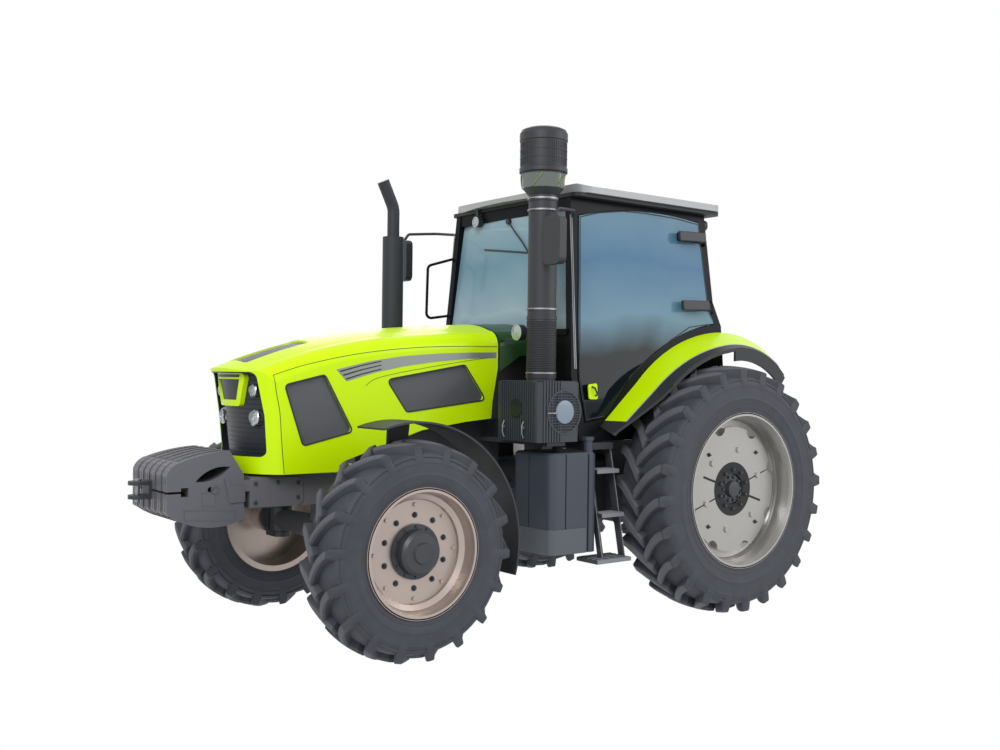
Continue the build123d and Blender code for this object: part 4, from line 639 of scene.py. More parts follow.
print("points of a rounded square:", len(rounded([(0, 0), (1, 0), (1, 1), (0, 1)], 0.1)))

# %% [markdown]
# A decal or a stripe is a skin on the panel. It is made as a plate, a millimetre into the metal and a lift
# above it, because a bare sheet on the surface would flicker with the paint below.

# %% Plates that follow the skin
def plate_rows(rows, lift):
    """Closed rows of a plate from rows of (place, normal)."""
    loops = []
    for row in rows:
        outer = [place + normal * lift for place, normal in row]
        inner = [place - normal * 0.001 for place, normal in row]
        loops.append(outer + inner[::-1])
    return loops


def skin_patch(work, names, top, bottom, hand, lift, steps, across):
    """A thin plate that follows the flank between two lines of (x, z)."""
    rows = []
    for i in range(steps + 1):
        upper, lower = along(top, i / steps), along(bottom, i / steps)
        rows.append(from_side(names, [upper.lerp(lower, j / across) for j in range(across + 1)], hand))
    work.rows(plate_rows(rows, lift))


print("half the bonnet's width at x 1.0, z 1.8:", round(from_side(["bonnet"], [(1.0, 1.8)], 1)[0][0].y, 3))

# %% [markdown]
# The tyres. Each bar of a traction tyre starts steep at the middle, leans over towards the shoulder and
# folds down the side wall. A texture can't give that outline, so bars are swept along that path with a
# six-cornered section, and stand in a turned carcass whose side wall has fine moulded rings.

# %% Tyre sizes and side wall
tyre_table = [
    # which, half width, half width of the tread, bore, bar height, bars a side, sweep in degrees,
    # half a bar's top, half of it at the shoulder
    ("front", 0.184, 0.176, 0.3813, 0.056, 18, 15.0, 0.0205, 0.0255),
    ("rear", 0.232, 0.224, 0.5593, 0.066, 24, 13.0, 0.0265, 0.0335),
]
wall_table = [
    # share of the way from shoulder to bead, how far the wall lies inside the widest place
    (0.0, 0.012), (0.06, 0.006), (0.12, 0.0035), (0.13, 0.0015), (0.16, 0.0015), (0.17, 0.0035),
    (0.3, 0.002), (0.42, 0.001), (0.5, 0.001), (0.51, 0.0), (0.53, 0.0), (0.54, 0.0015), (0.66, 0.005),
    (0.75, 0.01), (0.76, 0.008), (0.79, 0.009), (0.8, 0.0115), (0.88, 0.0155), (0.89, 0.0135),
    (0.93, 0.0145), (0.94, 0.019), (1.0, 0.024),
]
crown_shares = (0.0, 0.3, 0.5, 0.7, 0.85, 0.94)
shoulder_drop = 0.034
crown_fall = 0.026


def carcass_profile(radius, half, tread, bore, bar):
    """The carcass from bead to bead as (distance from the middle, radius)."""
    crown = radius - bar
    shoulder = crown - shoulder_drop
    wall_top = shoulder - 0.012
    side = [(tread * share, crown - crown_fall * share ** 3) for share in crown_shares]
    side += [(tread - 0.001, shoulder + 0.002), (tread + 0.0015, shoulder - 0.006)]
    side += [(half - inset, wall_top - (wall_top - bore) * share) for share, inset in wall_table]
    return [(-y, r) for y, r in side[::-1]] + side[1:]


print("points from bead to bead:", len(carcass_profile(1.0, *tyre_table[0][1:5])))

# %% [markdown]
# A bar is a row of sections. Nine of them cross half the tread, sunk a little past its middle, and five
# more wrap it over the shoulder, where the bar is widest and its end stands out from the wall.

# %% Sections of a bar
bar_root = -0.014
wrap_table = [
    # foot's out and depth under the shoulder, top's out and depth, what the foot adds, what the top grows
    (-0.03, 0.012, 0.001, -0.009, 0.013, 1.0),
    (-0.02, 0.03, 0.0065, 0.006, 0.013, 1.02),
    (-0.012, 0.052, 0.0075, 0.034, 0.013, 1.05),
    (-0.010, 0.085, 0.0065, 0.072, 0.012, 1.0),
    (-0.012, 0.108, 0.0005, 0.1, 0.008, 0.9),
]


def bar_stations(radius, half, tread, bar, sweep, top, top_out):
    """Sections of one bar: foot and top as (out, radius), angle, half a foot, half a top."""
    crown = radius - bar
    shoulder = crown - shoulder_drop
    stations = []
    for k in range(9):
        t = k / 8
        out = bar_root + (tread - 0.004 - bar_root) * t
        lean = 1 - (1 - t) ** 1.55
        floor = crown - crown_fall * max(out / tread, 0) ** 3
        crest = radius - 0.0015 - crown_fall * max(out / tread, 0) ** 2.2
        wide = (top + (top_out - top) * t) * (1.28 - 0.28 * t)
        stations.append(((out, floor - 0.006), (out, crest), -sweep * lean, wide + 0.011, wide))
    wall = half - 0.009
    for foot_out, foot_down, top_up, top_down, spread, grow in wrap_table:
        foot = (wall + foot_out, shoulder - foot_down)
        crest = (wall + top_up, shoulder - top_down)
        stations.append((foot, crest, -sweep, top_out * grow + spread, top_out * grow))
    return stations


print("sections of a bar:", 9 + len(wrap_table))

# %% [markdown]
# One function makes all four tyres. The two halves of the tread are half a pitch apart, as on the real
# tyre, so that it runs smoothly. The piece's origin lies on the axle, which its rubber finish needs.

# %% Tyre bars and carcass
bar_section = ((-1, 0.0), (-1, 0.86), (-0.8, 1.0), (0.8, 1.0), (1, 0.86), (1, 0.0))


def bar_rows(stations, middle, way):
    """One bar's rows of points about the axle, centred on an angle, on one half of the tread."""
    rows = []
    for foot, crest, lean, half_foot, half_top in stations:
        row = []
        for share, height in bar_section:
            out = foot[0] + (crest[0] - foot[0]) * height
            around = foot[1] + (crest[1] - foot[1]) * height
            wide = half_foot + (half_top - half_foot) * height
            turn = radians(middle + lean) + share * wide / around
            row.append((around * sin(turn), way * out, around * cos(turn)))
        rows.append(row)
    return rows


def make_tyre(which, side, half, tread, bore, bar, count, sweep, top, top_out):
    """A tyre with its bars, in place of the plainer solid one."""
    centre = middle_of("tyre_" + which + "_" + side)
    radius = centre.z
    work = Work()
    work.turned(carcass_profile(radius, half, tread, bore, bar), (0, 0, 0), (0, 1, 0), 132)
    stations = bar_stations(radius, half, tread, bar, sweep, top, top_out)
    for way, shift in ((1, 0.0), (-1, 0.5)):
        for index in range(count):
            work.rows(bar_rows(stations, 360 * (index + shift) / count, way))
    piece = work.made(
        "tyre_" + which + "_" + side + "_fine", rubber_of[which], "wheel_" + which + "_" + side, crease=28,
        stands_for=["tyre_" + which + "_" + side],
    )
    piece.location = centre


for which, *sizes in tyre_table:
    for side in hands:
        make_tyre(which, side, *sizes)
print("tyres:", len(hands) * len(tyre_table))

# %% [markdown]
# Wheel nuts hold the disc to its rim and hub. Each is a washer, a six-sided nut and a turned stud end, and
# the nuts of a wheel are one piece, because they never move apart.

# %% Wheel nuts
def six_sided(work, centre, axis, size, height):
    """A hexagon bar with a chamfered end."""
    profile = [(0, 0), (0, size), (height * 0.8, size), (height, size * 0.84), (height, 0)]
    work.turned(profile, centre, axis, 6)


stud_table = [
    # which, disc face from the middle, radius of the ring, studs, size
    ("front", 0.062, 0.222, 10, 0.0125),
    ("rear", 0.1, 0.372, 4, 0.011),
]
for which, face, ring, count, size in stud_table:
    for side, hand in hands.items():
        centre = middle_of("tyre_" + which + "_" + side)
        axis = (0, hand, 0)
        work = Work()
        for index in range(count):
            turn = 2 * pi * (index + 0.5) / count
            spot = centre + Vector((ring * cos(turn), hand * (face - 0.001), ring * sin(turn)))
            work.turned([(0, 0), (0, size * 1.5), (0.003, size * 1.5), (0.003, 0)], spot, axis, 20)
            six_sided(work, spot, axis, size, 0.013)
            work.turned([(0.01, 0), (0.01, size * 0.5), (0.024, size * 0.5), (0.026, 0)], spot, axis, 12)
        work.made("wheel_nuts_" + which + "_" + side, hub_steel, "wheel_" + which + "_" + side)
print("wheel nut sets:", len(hands) * len(stud_table))

# %% [markdown]
# The bonnet's seams are thin dark gaps along the crease and down behind the nose. Cutting them would mean
# changing the solid, so a dark bead as wide as the gap lies half sunk in the paint along each line.

# %% Bonnet seams
crease_line = [
    (1.918, 1.734), (1.737, 1.791), (1.564, 1.832), (1.383, 1.868), (1.197, 1.896), (1.003, 1.918),
    (0.747, 1.938), (0.427, 1.949), (0.19, 1.953),
]
nose_seam = [(1.918, 1.734), (1.9, 1.62), (1.876, 1.498), (1.862, 1.32), (1.842, 1.12)]
brow_line = [
    (1.262, 1.668), (1.247, 1.686), (1.184, 1.719), (1.003, 1.759), (0.68, 1.812), (0.34, 1.862),
    (0.2, 1.872),
]
seam_lines = ((crease_line, 0.0022), (nose_seam, 0.0022), (brow_line, 0.0018))
for side, hand in hands.items():
    seams = Work()
    for line, radius in seam_lines:
        seams.tube(places(from_side(["bonnet"], smooth_path(line, 6), hand)), radius, 6)
    seams.made("bonnet_seams_" + side, seam_dark, "bonnet")
print("seams a side:", len(seam_lines))

# %% [markdown]
# A rubber edge holds each vent panel. It is a bead round the panel's rounded outline, found by rays on
# whichever of bonnet and panel is outermost. A bare silver stripe with three dark lines runs above.

# %% Vent edges and stripe
vent_table = [
    [(1.845, 1.673), (1.565, 1.739), (1.357, 1.372), (1.715, 1.29)],
    [(1.105, 1.711), (0.47, 1.818), (0.285, 1.572), (0.945, 1.494)],
]
stripe_top = [
    (1.484, 1.774), (1.236, 1.832), (0.981, 1.87), (0.702, 1.893), (0.445, 1.905), (0.194, 1.912),
]
stripe_bottom = [
    (1.411, 1.698), (1.197, 1.757), (0.964, 1.803), (0.702, 1.838), (0.444, 1.861), (0.194, 1.872),
]
stripe_lines = [
    # upper and lower edge of each dark line
    ([(1.463, 1.765), (1.3, 1.806), (1.15, 1.836)], [(1.455, 1.757), (1.3, 1.798), (1.15, 1.829)]),
    ([(1.44, 1.741), (1.3, 1.778), (1.15, 1.81)], [(1.43, 1.733), (1.3, 1.770), (1.15, 1.803)]),
    ([(1.418, 1.716), (1.3, 1.75), (1.15, 1.784)], [(1.41, 1.709), (1.3, 1.742), (1.15, 1.777)]),
]
for side, hand in hands.items():
    edges = Work()
    for corners in vent_table:
        middle = sum((Vector(corner) for corner in corners), Vector((0, 0))) / len(corners)
        outline = [middle + (p - middle) * 1.004 for p in densified(rounded(corners, 0.03), 0.02)]
        bead = places(from_side(["bonnet", "side_vents"], outline, hand))
        edges.tube(bead + bead[:2], 0.0055, 6)
    edges.made("vent_edges_" + side, trim_rubber, "bonnet")
    stripe = Work()
    skin_patch(stripe, ["bonnet"], stripe_top, stripe_bottom, hand, 0.0016, 40, 3)
    stripe.made("stripe_" + side, silver, "bonnet")
    inset = Work()
    for upper, lower in stripe_lines:
        skin_patch(inset, ["bonnet"], upper, lower, hand, 0.0024, 14, 1)
    inset.made("stripe_lines_" + side, seam_dark, "bonnet")
print("vents and stripe lines a side:", len(vent_table), len(stripe_lines))

# %% [markdown]
# A headlamp is a bright bowl behind a domed lens in a rolled ring. All three are turned about the lamp's
# own axis, which tips up a little, and stand where a ray from the front meets the solid lamp.

# %% Headlamps
def domed(radius, foot, rim, height, steps):
    """A lens's profile: a flat back at its foot, and a front that swells from its rim."""
    front = [(rim + height * (1 - k * k / steps ** 2), radius * k / steps) for k in range(steps, -1, -1)]
    return [(foot, 0), (foot, radius)] + front


headlamp_table = [
    # y, z, radius
    (0.247, 1.635, 0.034), (0.24, 1.463, 0.046),
]
headlamp_axis = (1, 0, 0.1)
bezel = [(-0.012, 0.0), (0.004, 0.0), (0.006, 0.004), (0.0, 0.009), (-0.012, 0.009)]
inner_ring = [(0.0, 0.42), (0.0105, 0.42), (0.0105, 0.5), (0.0, 0.5)]
rings, lenses = Work(), Work()
for y, z, radius in headlamp_table:
    for hand in hands.values():
        (spot, normal), = from_front(["headlamps"], [(hand * y, z)])
        rings.turned([(ahead, radius + out) for ahead, out in bezel], spot, headlamp_axis, 40)
        lenses.turned(domed(radius, -0.01, 0.0, 0.009, 6), spot, headlamp_axis, 40)
        rings.turned([(ahead, radius * share) for ahead, share in inner_ring], spot, headlamp_axis, 32)
rings.made("headlamp_rings", bright_steel, "bonnet")
lenses.made("headlamp_lenses", lamp_lens, "bonnet")
print("headlamps:", len(hands) * len(headlamp_table))

# %% [markdown]
# The badge pocket stays empty, with a dark plate over its floor. The floor bows with the nose, so the
# plate's points are found by rays and not drawn on a plane.

# %% Badge pocket
pocket_foot, pocket_top = 1.575, 1.735
pocket_half_foot, pocket_half_top = 0.1, 0.168
rows = []
for i in range(11):
    z = pocket_foot + (pocket_top - pocket_foot) * i / 10
    half = pocket_half_foot + (pocket_half_top - pocket_half_foot) * i / 10
    rows.append(from_front(["bonnet"], [(half * (1 - j / 6), z) for j in range(13)]))
pocket = Work()
pocket.rows(plate_rows([row for row in rows if len(row) == 13], 0.0015))
pocket.made("badge_pocket_floor", grille_black, "bonnet")
print("points of the pocket floor:", len(pocket.points))

# %% [markdown]
# Thin bars cross the grille sheet. A bar is drawn only where the sheet is the first thing a ray meets, so
# it ends by itself at the headlamps and at the frame, and a row that they cross is broken in shorter bars.

# %% Grille bars
bars = Work()
for k in range(17):
    z = 1.25 + 0.03 * k
    half = 0.335 - 0.02 * (z - 1.25) - (0.012 if z < 1.29 else 0)
    runs = [[]]
    for j in range(25):
        spot = [(half * (1 - 2 * j / 24), z)]
        first, sheet = from_front(["grille", "bonnet", "headlamps"], spot), from_front(["grille"], spot)
        if first and sheet and (sheet[0][0] - first[0][0]).length < 0.001:
            runs[-1].append(first[0][0])
        else:
            runs.append([])
    for run in runs:
        if len(run) > 2:
            bars.tube(run, 0.003, 6)
bars.made("grille_bars", grille_black, "bonnet")
print("grille points:", len(bars.points))

# %% [markdown]
# The nose weights are iron plates clamped side by side. The gaps between them are thin, so they are dark
# beads run round the pack's outline, which rays towards its middle find at each plate.

# %% Gaps of the weights
weights_low, weights_high = corners_of("front_weights")
weights_middle = Vector((2.24, 0, 1.03))
plate_count = 24


def round_the_weights(y):
    """The pack's outline this far from the middle plane, from under the nose round to the back."""
    line = []
    for turn in range(-62, 215, 6):
        way = Vector((cos(radians(turn)), 0, sin(radians(turn))))
        start = weights_middle + way * 1.2
        starts = [start + Vector((0, y + step, 0)) for step in (-0.002, 0.002)]
        hits = [surface(["front_weights"], place, -way) for place in starts]
        spots = [Vector((hit[0].x, 0, hit[0].z)) for hit in hits if hit]
        if spots:
            nearest = min(spots, key=lambda spot: (spot - weights_middle).length)
            line.append(Vector((nearest.x, y, nearest.z)))
    return line


gaps = Work()
for k in range(1, plate_count):
    y = weights_low.y + (weights_high.y - weights_low.y) * k / plate_count
    gaps.tube(round_the_weights(y), 0.0026 if k % 2 == 0 else 0.0016, 6)
gaps.made("weight_gaps", seam_dark, "chassis")
print("weight gaps:", plate_count - 1)

# %% [markdown]
# On the outer plate lie the marks of its casting: two framed panels, which are left bare, the plate that
# hooks it to the support, and the ring of the clamping bolt.

# %% Panels of the weights
frame_lines = [
    # closed outlines in (x, z)
    [(2.335, 1.023), (2.251, 1.019), (2.25, 0.935), (2.334, 0.938)],
    [(2.443, 0.922), (2.12, 0.902), (2.12, 0.84), (2.442, 0.862)],
]
hook = [
    (2.194, 1.098), (2.172, 1.1), (2.15, 1.052), (2.058, 1.05), (2.058, 0.952), (2.158, 0.948), (2.176, 1.04),
]
bolt_ring = [(-0.002, 0.026), (0.006, 0.026), (0.006, 0.019), (-0.002, 0.019)]
panels = Work()
for hand in hands.values():
    face_y = hand * (weights_high.y + 0.0002)
    for corners in frame_lines:
        panels.tube([(x, face_y, z) for x, z in corners + corners[:2]], 0.0032, 6)
    panels.prism([(x, face_y - hand * 0.001, z) for x, z in hook], (0, hand * 0.009, 0))
    panels.turned(bolt_ring, (2.25, face_y, 1.036), (0, hand, 0), 28)
panels.made("weight_panels", weight_grey, "chassis", bevel=0.0015)
print("framed panels a side:", len(frame_lines))

# %% [markdown]
# The front support carries the weights. Its side plates are bolted to the engine, so each is a pushed
# outline with a cut lower corner, and a soft edge from a bevel.

# %% Front support plates
plate_outline = [(2.022, 0.912), (2.022, 1.09), (1.66, 1.09), (1.66, 0.93), (1.7, 0.906)]
plate_bolts = [(1.99, 1.06), (1.99, 0.94), (1.7, 1.05), (1.7, 0.96), (1.84, 1.06)]
plates, bolts = Work(), Work()
for hand in hands.values():
    plates.prism([(x, hand * 0.3, z) for x, z in plate_outline], (0, hand * 0.006, 0))
    for x, z in plate_bolts:
        six_sided(bolts, Vector((x, hand * 0.305, z)), (0, hand, 0), 0.013, 0.01)
plates.made("support_plates", support_grey, "chassis", bevel=0.003)
bolts.made("support_bolts", hub_steel, "chassis")
print("support bolts a side:", len(plate_bolts))

# %% [markdown]
# The engine breathes through the tall stack on the left. Its foot is a ribbed rubber sleeve, whose ribs
# show in the outline and so are turned and not bumped, and steel bands hold the joints.

# %% Stack sleeve and bands
low, high = corners_of("intake_stack")
stack = Vector(((low.x + high.x) / 2, (low.y + high.y) / 2, 0))
upright = (0, 0, 1)
sleeve_foot, sleeve_top, rib_pitch = 1.77, 2.134, 0.012
profile = [(sleeve_foot, 0.1)]
for k in range(30):
    z = sleeve_foot + 0.002 + rib_pitch * k
    profile += [(z, 0.1015), (z + 0.004, 0.1045), (z + 0.008, 0.1045)]
profile += [(sleeve_top, 0.1015), (sleeve_top, 0.095), (sleeve_foot, 0.095)]
sleeve = Work()
sleeve.turned(profile, stack, upright, 56)
sleeve.made("stack_sleeve", sleeve_rubber, "chassis")
band_heights = (1.762, 2.205, 2.89, 2.97)
bands = Work()
for z in band_heights:
    bands.turned([(z, 0.098), (z, 0.1075), (z + 0.011, 0.1075), (z + 0.011, 0.098)], stack, upright, 56)
    bands.tube([stack + Vector((0.112, y, z + 0.005)) for y in (-0.012, 0.03)], 0.005, 8)
bands.made("stack_bands", dull_steel, "chassis")
print("stack bands:", len(band_heights))

# %% [markdown]
# The pre-cleaner on top spins dust out of the air: slits round a dark drum, a smoky bowl that gathers the
# dust, and slanted vanes seen in the bowl. Everything is placed down from the drum's top.

# %% Pre-cleaner
top = corners_of("precleaner")[1].z
slit_count, vane_count = 64, 5
slits = Work()
for k in range(slit_count):
    turn = 2 * pi * k / slit_count
    out = Vector((cos(turn), sin(turn), 0))
    wide = Vector((-sin(turn), cos(turn), 0)) * 0.003
    foot = stack + out * 0.1595 + Vector((0, 0, top - 0.26))
    head = stack + out * 0.1595 + Vector((0, 0, top - 0.1))
    slits.prism([foot - wide, foot + wide, head + wide, head - wide], out * 0.004)
for z in (top - 0.21, top - 0.155):
    slits.turned([(z, 0.158), (z, 0.165), (z + 0.006, 0.165), (z + 0.006, 0.158)], stack, upright, 64)
slits.made("precleaner_slits", black_plastic, "chassis")
bowl_profile = [(-0.415, 0.141), (-0.415, 0.144), (-0.32, 0.158), (-0.318, 0.15)]
bowl = Work()
bowl.turned([(top + down, radius) for down, radius in bowl_profile], stack, upright, 56)
bowl.made("precleaner_bowl", smoky_bowl, "chassis")
vanes = Work()
for k in range(vane_count):
    line = []
    for i in range(7):
        t = i / 6
        turn = 2 * pi * k / vane_count + 0.35 + 0.5 * t
        radius = 0.1475 + 0.0125 * t
        line.append(stack + Vector((radius * cos(turn), radius * sin(turn), top - 0.41 + 0.085 * t)))
    vanes.tube(line, 0.0045, 6)
vanes.made("precleaner_vanes", vane_green, "chassis")
print("slits and vanes:", slit_count, vane_count)

# %% [markdown]
# The air cleaner draws through a round wire screen on its side. The wires are real bars, cut to the
# circle and left out behind the disc in the middle, since their shadows tell the screen from a print.

# %% Air cleaner's screen
low, high = corners_of("air_cleaner")
screen = Vector((0.11, high.y, 1.507))
screen_radius, disc_radius, wire_pitch = 0.14, 0.082, 0.0185
wires = Work()
for k in range(-7, 8):
    offset = k * wire_pitch
    half = (screen_radius ** 2 - offset ** 2) ** 0.5
    spans = [(-half, half)]
    if abs(offset) < disc_radius:
        gap = (disc_radius ** 2 - offset ** 2) ** 0.5
        spans = [(gap, half), (-half, -gap)]
    for start, end in spans:
        wires.tube([screen + Vector((reach, -0.001, offset)) for reach in (start, end)], 0.0028, 6)
        wires.tube([screen + Vector((offset, -0.001, reach)) for reach in (start, end)], 0.0028, 6)
wires.made("cleaner_screen_wires", box_plastic, "chassis")
side_disc = [(0.001, 0), (0.001, 0.079), (0.006, 0.077), (0.0075, 0.07), (0.0075, 0)]
front_disc = [(-0.004, 0), (-0.004, 0.067), (0.004, 0.065), (0.005, 0.06), (0.005, 0)]
disc_table = [
    # piece, finish, profile, centre, axis
    ("cleaner_disc", disc_blue, side_disc, screen, (0, 1, 0)),
    ("cleaner_front_disc", disc_dark, front_disc, (high.x, 0.812, 1.528), (1, 0, 0)),
]
for name, finish, profile, centre, axis in disc_table:
    disc = Work()
    disc.turned(profile, centre, axis, 48)
    disc.made(name, finish, "chassis")
print("discs:", len(disc_table))

# %% [markdown]
# Spring clips hold the cleaner's cover, and a bail lies over the disc. They are bent wire, so each is a
# bar along a bent path.

# %% Clips of the air cleaner
clips = Work()
for y in (0.69, 0.9):
    x = high.x + 0.004
    clips.tube([(x, y, 1.33), (x + 0.014, y, 1.36), (x + 0.014, y, 1.41), (x, y, 1.44)], 0.005, 8)
    clips.turned([(0, 0), (0, 0.011), (0.012, 0.009), (0.012, 0)], (x, y, 1.4), (1, 0, 0), 16)
bail = [(0.16, -0.004), (0.19, 0.012), (0.23, 0.012), (0.25, -0.004)]
clips.tube([(x, high.y + out, 1.5) for x, out in bail], 0.005, 8)
clips.made("cleaner_clips", dull_steel, "chassis")
print("points of the clips:", len(clips.points))

# %% [markdown]
# The fuel tank is blow moulded and soft. A steel guard wraps its foot, as one bent sheet: its line in plan
# runs along the side and round the front corner, and two such lines make a closed outline to push up.

# %% Tank guard
guard_back, guard_inner_y = -0.097, 0.628
tank_front, tank_side, corner_radius = 0.22, 1.05, 0.055


def guard_line(grow):
    """The guard's line in plan: along the side, round the front corner and across the front."""
    turn_x, turn_y = tank_front - corner_radius, tank_side - corner_radius
    line = [(guard_back, tank_side + grow)]
    for k in range(9):
        turn = radians(90 - 90 * k / 8)
        reach = corner_radius + grow
        line.append((turn_x + reach * cos(turn), turn_y + reach * sin(turn)))
    return line + [(tank_front + grow, guard_inner_y)]


guard = Work()
guard.prism([(x, y, 0.548) for x, y in guard_line(0.0045) + guard_line(-0.004)[::-1]], (0, 0, 0.168))
guard.made("tank_guard", guard_grey, "chassis", bevel=0.002)
print("points of the guard:", len(guard.points))

# %% [markdown]
# A short ribbed hose stands on the tank and ends in a steel band. Its ribs grow a little narrower upwards,
# which a loop over the rib number gives.

# %% Tank hose
hose_centre = Vector((0.085, 0.955, 0))
hose_foot, hose_top = 1.226, 1.29
profile = []
for k in range(6):
    z = hose_foot + 0.011 * k
    profile += [(z, 0.036 - 0.001 * k), (z + 0.0055, 0.043 - 0.001 * k)]
hose = Work()
hose.turned(profile + [(hose_top, 0.03), (hose_top, 0.0), (hose_foot, 0.0)], hose_centre, upright, 32)
hose.made("tank_hose", sleeve_rubber, "chassis")
cap = Work()
cap.turned([(1.29, 0), (1.29, 0.026), (1.302, 0.026), (1.304, 0.02), (1.304, 0)], hose_centre, upright, 32)
cap.made("tank_hose_band", bright_steel, "chassis")
print("hose height in millimetres:", round((hose_top - hose_foot) * 1000))

# %% [markdown]
# Boots slip on wet steel, so each tread has raised ribs and a turned-up lip, and the ladder's edges are
# rounded bars. They are fine enough to be beads and slim boxes on the solid treads.

# %% Ladder treads
tread_table = [
    # height, middle from the middle plane, width, where it starts and ends along x
    (1.085, 0.945, 0.12, -0.443, -0.235), (0.785, 1.0, 0.12, -0.443, -0.235),
    (0.481, 1.02, 0.21, -0.453, -0.137),
]
treads = Work()
for z, y, width, x_from, x_to in tread_table:
    for hand in hands.values():
        for k in range(5):
            across = y - width / 2 + 0.012 + (width - 0.024) * k / 4
            rib_y, rib_z = hand * across, z + 0.013 + 0.0015
            treads.tube([(x, rib_y, rib_z) for x in (x_from + 0.004, x_to - 0.004)], 0.0035, 6)
        lip = sorted((hand * (y + width / 2), hand * (y + width / 2 + 0.004)))
        treads.box((x_from, lip[0], z - 0.013), (x_to, lip[1], z + 0.0145))
treads.made("step_treads", tread_grey, "chassis", bevel=0.001)
edges = Work()
for x in (-0.4455, -0.2325):
    for hand in hands.values():
        edges.tube([(x, hand * 0.9155, 1.232), (x, hand * 1.0755, 0.477)], 0.0035, 6)
edges.made("ladder_edges", tread_grey, "chassis")
print("treads a side:", len(tread_table))

# %% [markdown]
# A rubber seal runs round each door just inside its edge. It is one bead through points that rays find on
# the door's leaning face, and it rides on the door, so it swings with it.

# %% Door seals
door_line = [
    (-0.465, 1.452), (-0.265, 1.425), (-0.22, 1.749), (-0.292, 2.905), (-0.6, 2.985), (-0.97, 2.998),
    (-1.3, 2.99), (-1.56, 2.966), (-1.62, 2.347), (-1.675, 2.172), (-1.4, 2.135), (-1.12, 1.995),
    (-0.9, 1.86), (-0.73, 1.744),
]
door_middle = Vector((-0.95, 2.3))
seal_share = 0.982
seal_line = [door_middle + (p - door_middle) * seal_share for p in densified(door_line, 0.06)]
for side, hand in hands.items():
    bead = places(from_side(["door_glass_" + side, "door_" + side], seal_line, hand))
    seal = Work()
    seal.tube(bead + bead[:2], 0.004, 6)
    seal.made("door_seal_" + side, trim_rubber, "door_" + side)
print("points of a seal:", len(seal_line))

# %% [markdown]
# Two pale lines stand beside the door on the front pillar: a steel rail and the edge of its rubber. The
# cab's sides lean in, so their distance from the middle is worked out from the height.

# %% Pillar lines
cab_lean = tan(radians(4.8))


def cab_side(z):
    """Half the cab's width at a height."""
    return 0.84 - cab_lean * (z - 1.4)


pillar_rake = -0.0204
for side, hand in hands.items():
    pillar = Work()
    for x in (-0.2, -0.214):
        heights = (1.8, 2.1, 2.4, 2.7, 2.9)
        line = [(x + pillar_rake * (z - 2.3), hand * (cab_side(z) + 0.003), z) for z in heights]
        pillar.tube(line, 0.004, 6)
    pillar.made("pillar_lines_" + side, pale_trim, "chassis")
print("cab half width at the door's foot:", round(cab_side(1.4), 3))

# %% [markdown]
# The rear wing has a pale line on its seam and a rubber lip outside. Rays from above drop one path onto the
# wing at two distances from the middle, and points that fall past its ends are left out.

# %% Wing line and lip
wing_seam = [
    (-0.37, 1.34), (-0.58, 1.505), (-0.78, 1.66), (-0.95, 1.78), (-1.14, 1.885), (-1.33, 1.96),
    (-1.52, 1.995), (-1.7, 2.003), (-1.87, 1.985), (-2.03, 1.932), (-2.18, 1.85),
]
wing_beads = [
    # piece, finish, distance from the middle, lowest point, radius, sides
    ("wing_line_", pale_trim, 1.026, 1.42, 0.0045, 6), ("wing_lip_", trim_rubber, 1.16, 1.38, 0.007, 8),
]
for side, hand in hands.items():
    for name, finish, out, lowest, radius, sides in wing_beads:
        path = smooth_path(wing_seam, 5)
        wing = ["fender_edges", "rear_fenders"]
        drops = [surface(wing, (x, hand * out, 3.0), (0, 0, -1)) for x, z in path]
        bead = Work()
        bead.tube([drop[0] for drop in drops if drop and drop[0].z > lowest], radius, sides)
        bead.made(name + side, finish, "chassis")
print("wing beads a side:", len(wing_beads))

# %% [markdown]
# The wiper is an arm, a blade and the hub of its motor. Arm and blade are bars that stand off the glass by
# their own distance along the glass's normal.

# %% Windscreen wiper
arm = from_front(["cab_glass"], [(-0.01, 2.925), (0.09, 2.83), (0.18, 2.75), (0.261, 2.664)], 3.0)
blade = from_front(["cab_glass"], [(-0.31, 2.735), (-0.1, 2.71), (0.1, 2.685), (0.3, 2.66)], 3.0)
wiper = Work()
for spots, stand_off in ((arm, 0.014), (blade, 0.006)):
    wiper.tube([place + normal * stand_off for place, normal in spots], 0.006, 8)
wiper_hub = [(0, 0), (0, 0.024), (0.03, 0.02), (0.03, 0)]
wiper.turned(wiper_hub, arm[0][0] + Vector((-0.004, 0, 0)), (1, 0, 0.1), 20)
wiper.made("wiper", black_plastic, "chassis")
print("arm and blade points:", len(arm), len(blade))

# %% [markdown]
# The door handle is a lime plate with a black grip that stands out from it. Plate and grip are two pieces,
# because they have two finishes, and both ride on the door, so they swing with it.

# %% Door handles
plate_corners = [(-0.37, 1.585), (-0.285, 1.585), (-0.275, 1.69), (-0.36, 1.7)]
grip_path = [
    # x, how far out of the plate, z
    (-0.345, -0.004, 1.61), (-0.345, 0.018, 1.62), (-0.32, 0.02, 1.665), (-0.31, -0.004, 1.675),
]
for side, hand in hands.items():
    (spot, normal), = from_side(["door_" + side], [(-0.322, 1.64)], hand)
    handle = Work()
    outline = rounded(plate_corners, 0.018)
    handle.prism([(p.x, spot.y - hand * 0.002, p.y) for p in outline], (0, hand * 0.012, 0))
    handle.made("handle_plate_" + side, lime, "door_" + side, bevel=0.003)
    grip = Work()
    grip.tube([(x, spot.y + hand * (0.012 + out), z) for x, out, z in grip_path], 0.007, 8)
    grip.made("handle_grip_" + side, black_plastic, "door_" + side)
print("handles:", len(hands))

# %% [markdown]
# Round work lamps sit beside the bonnet and under the roof. Each gets a steel rim and a domed lens, turned
# from short profiles like the headlamps', on the face of its solid housing.

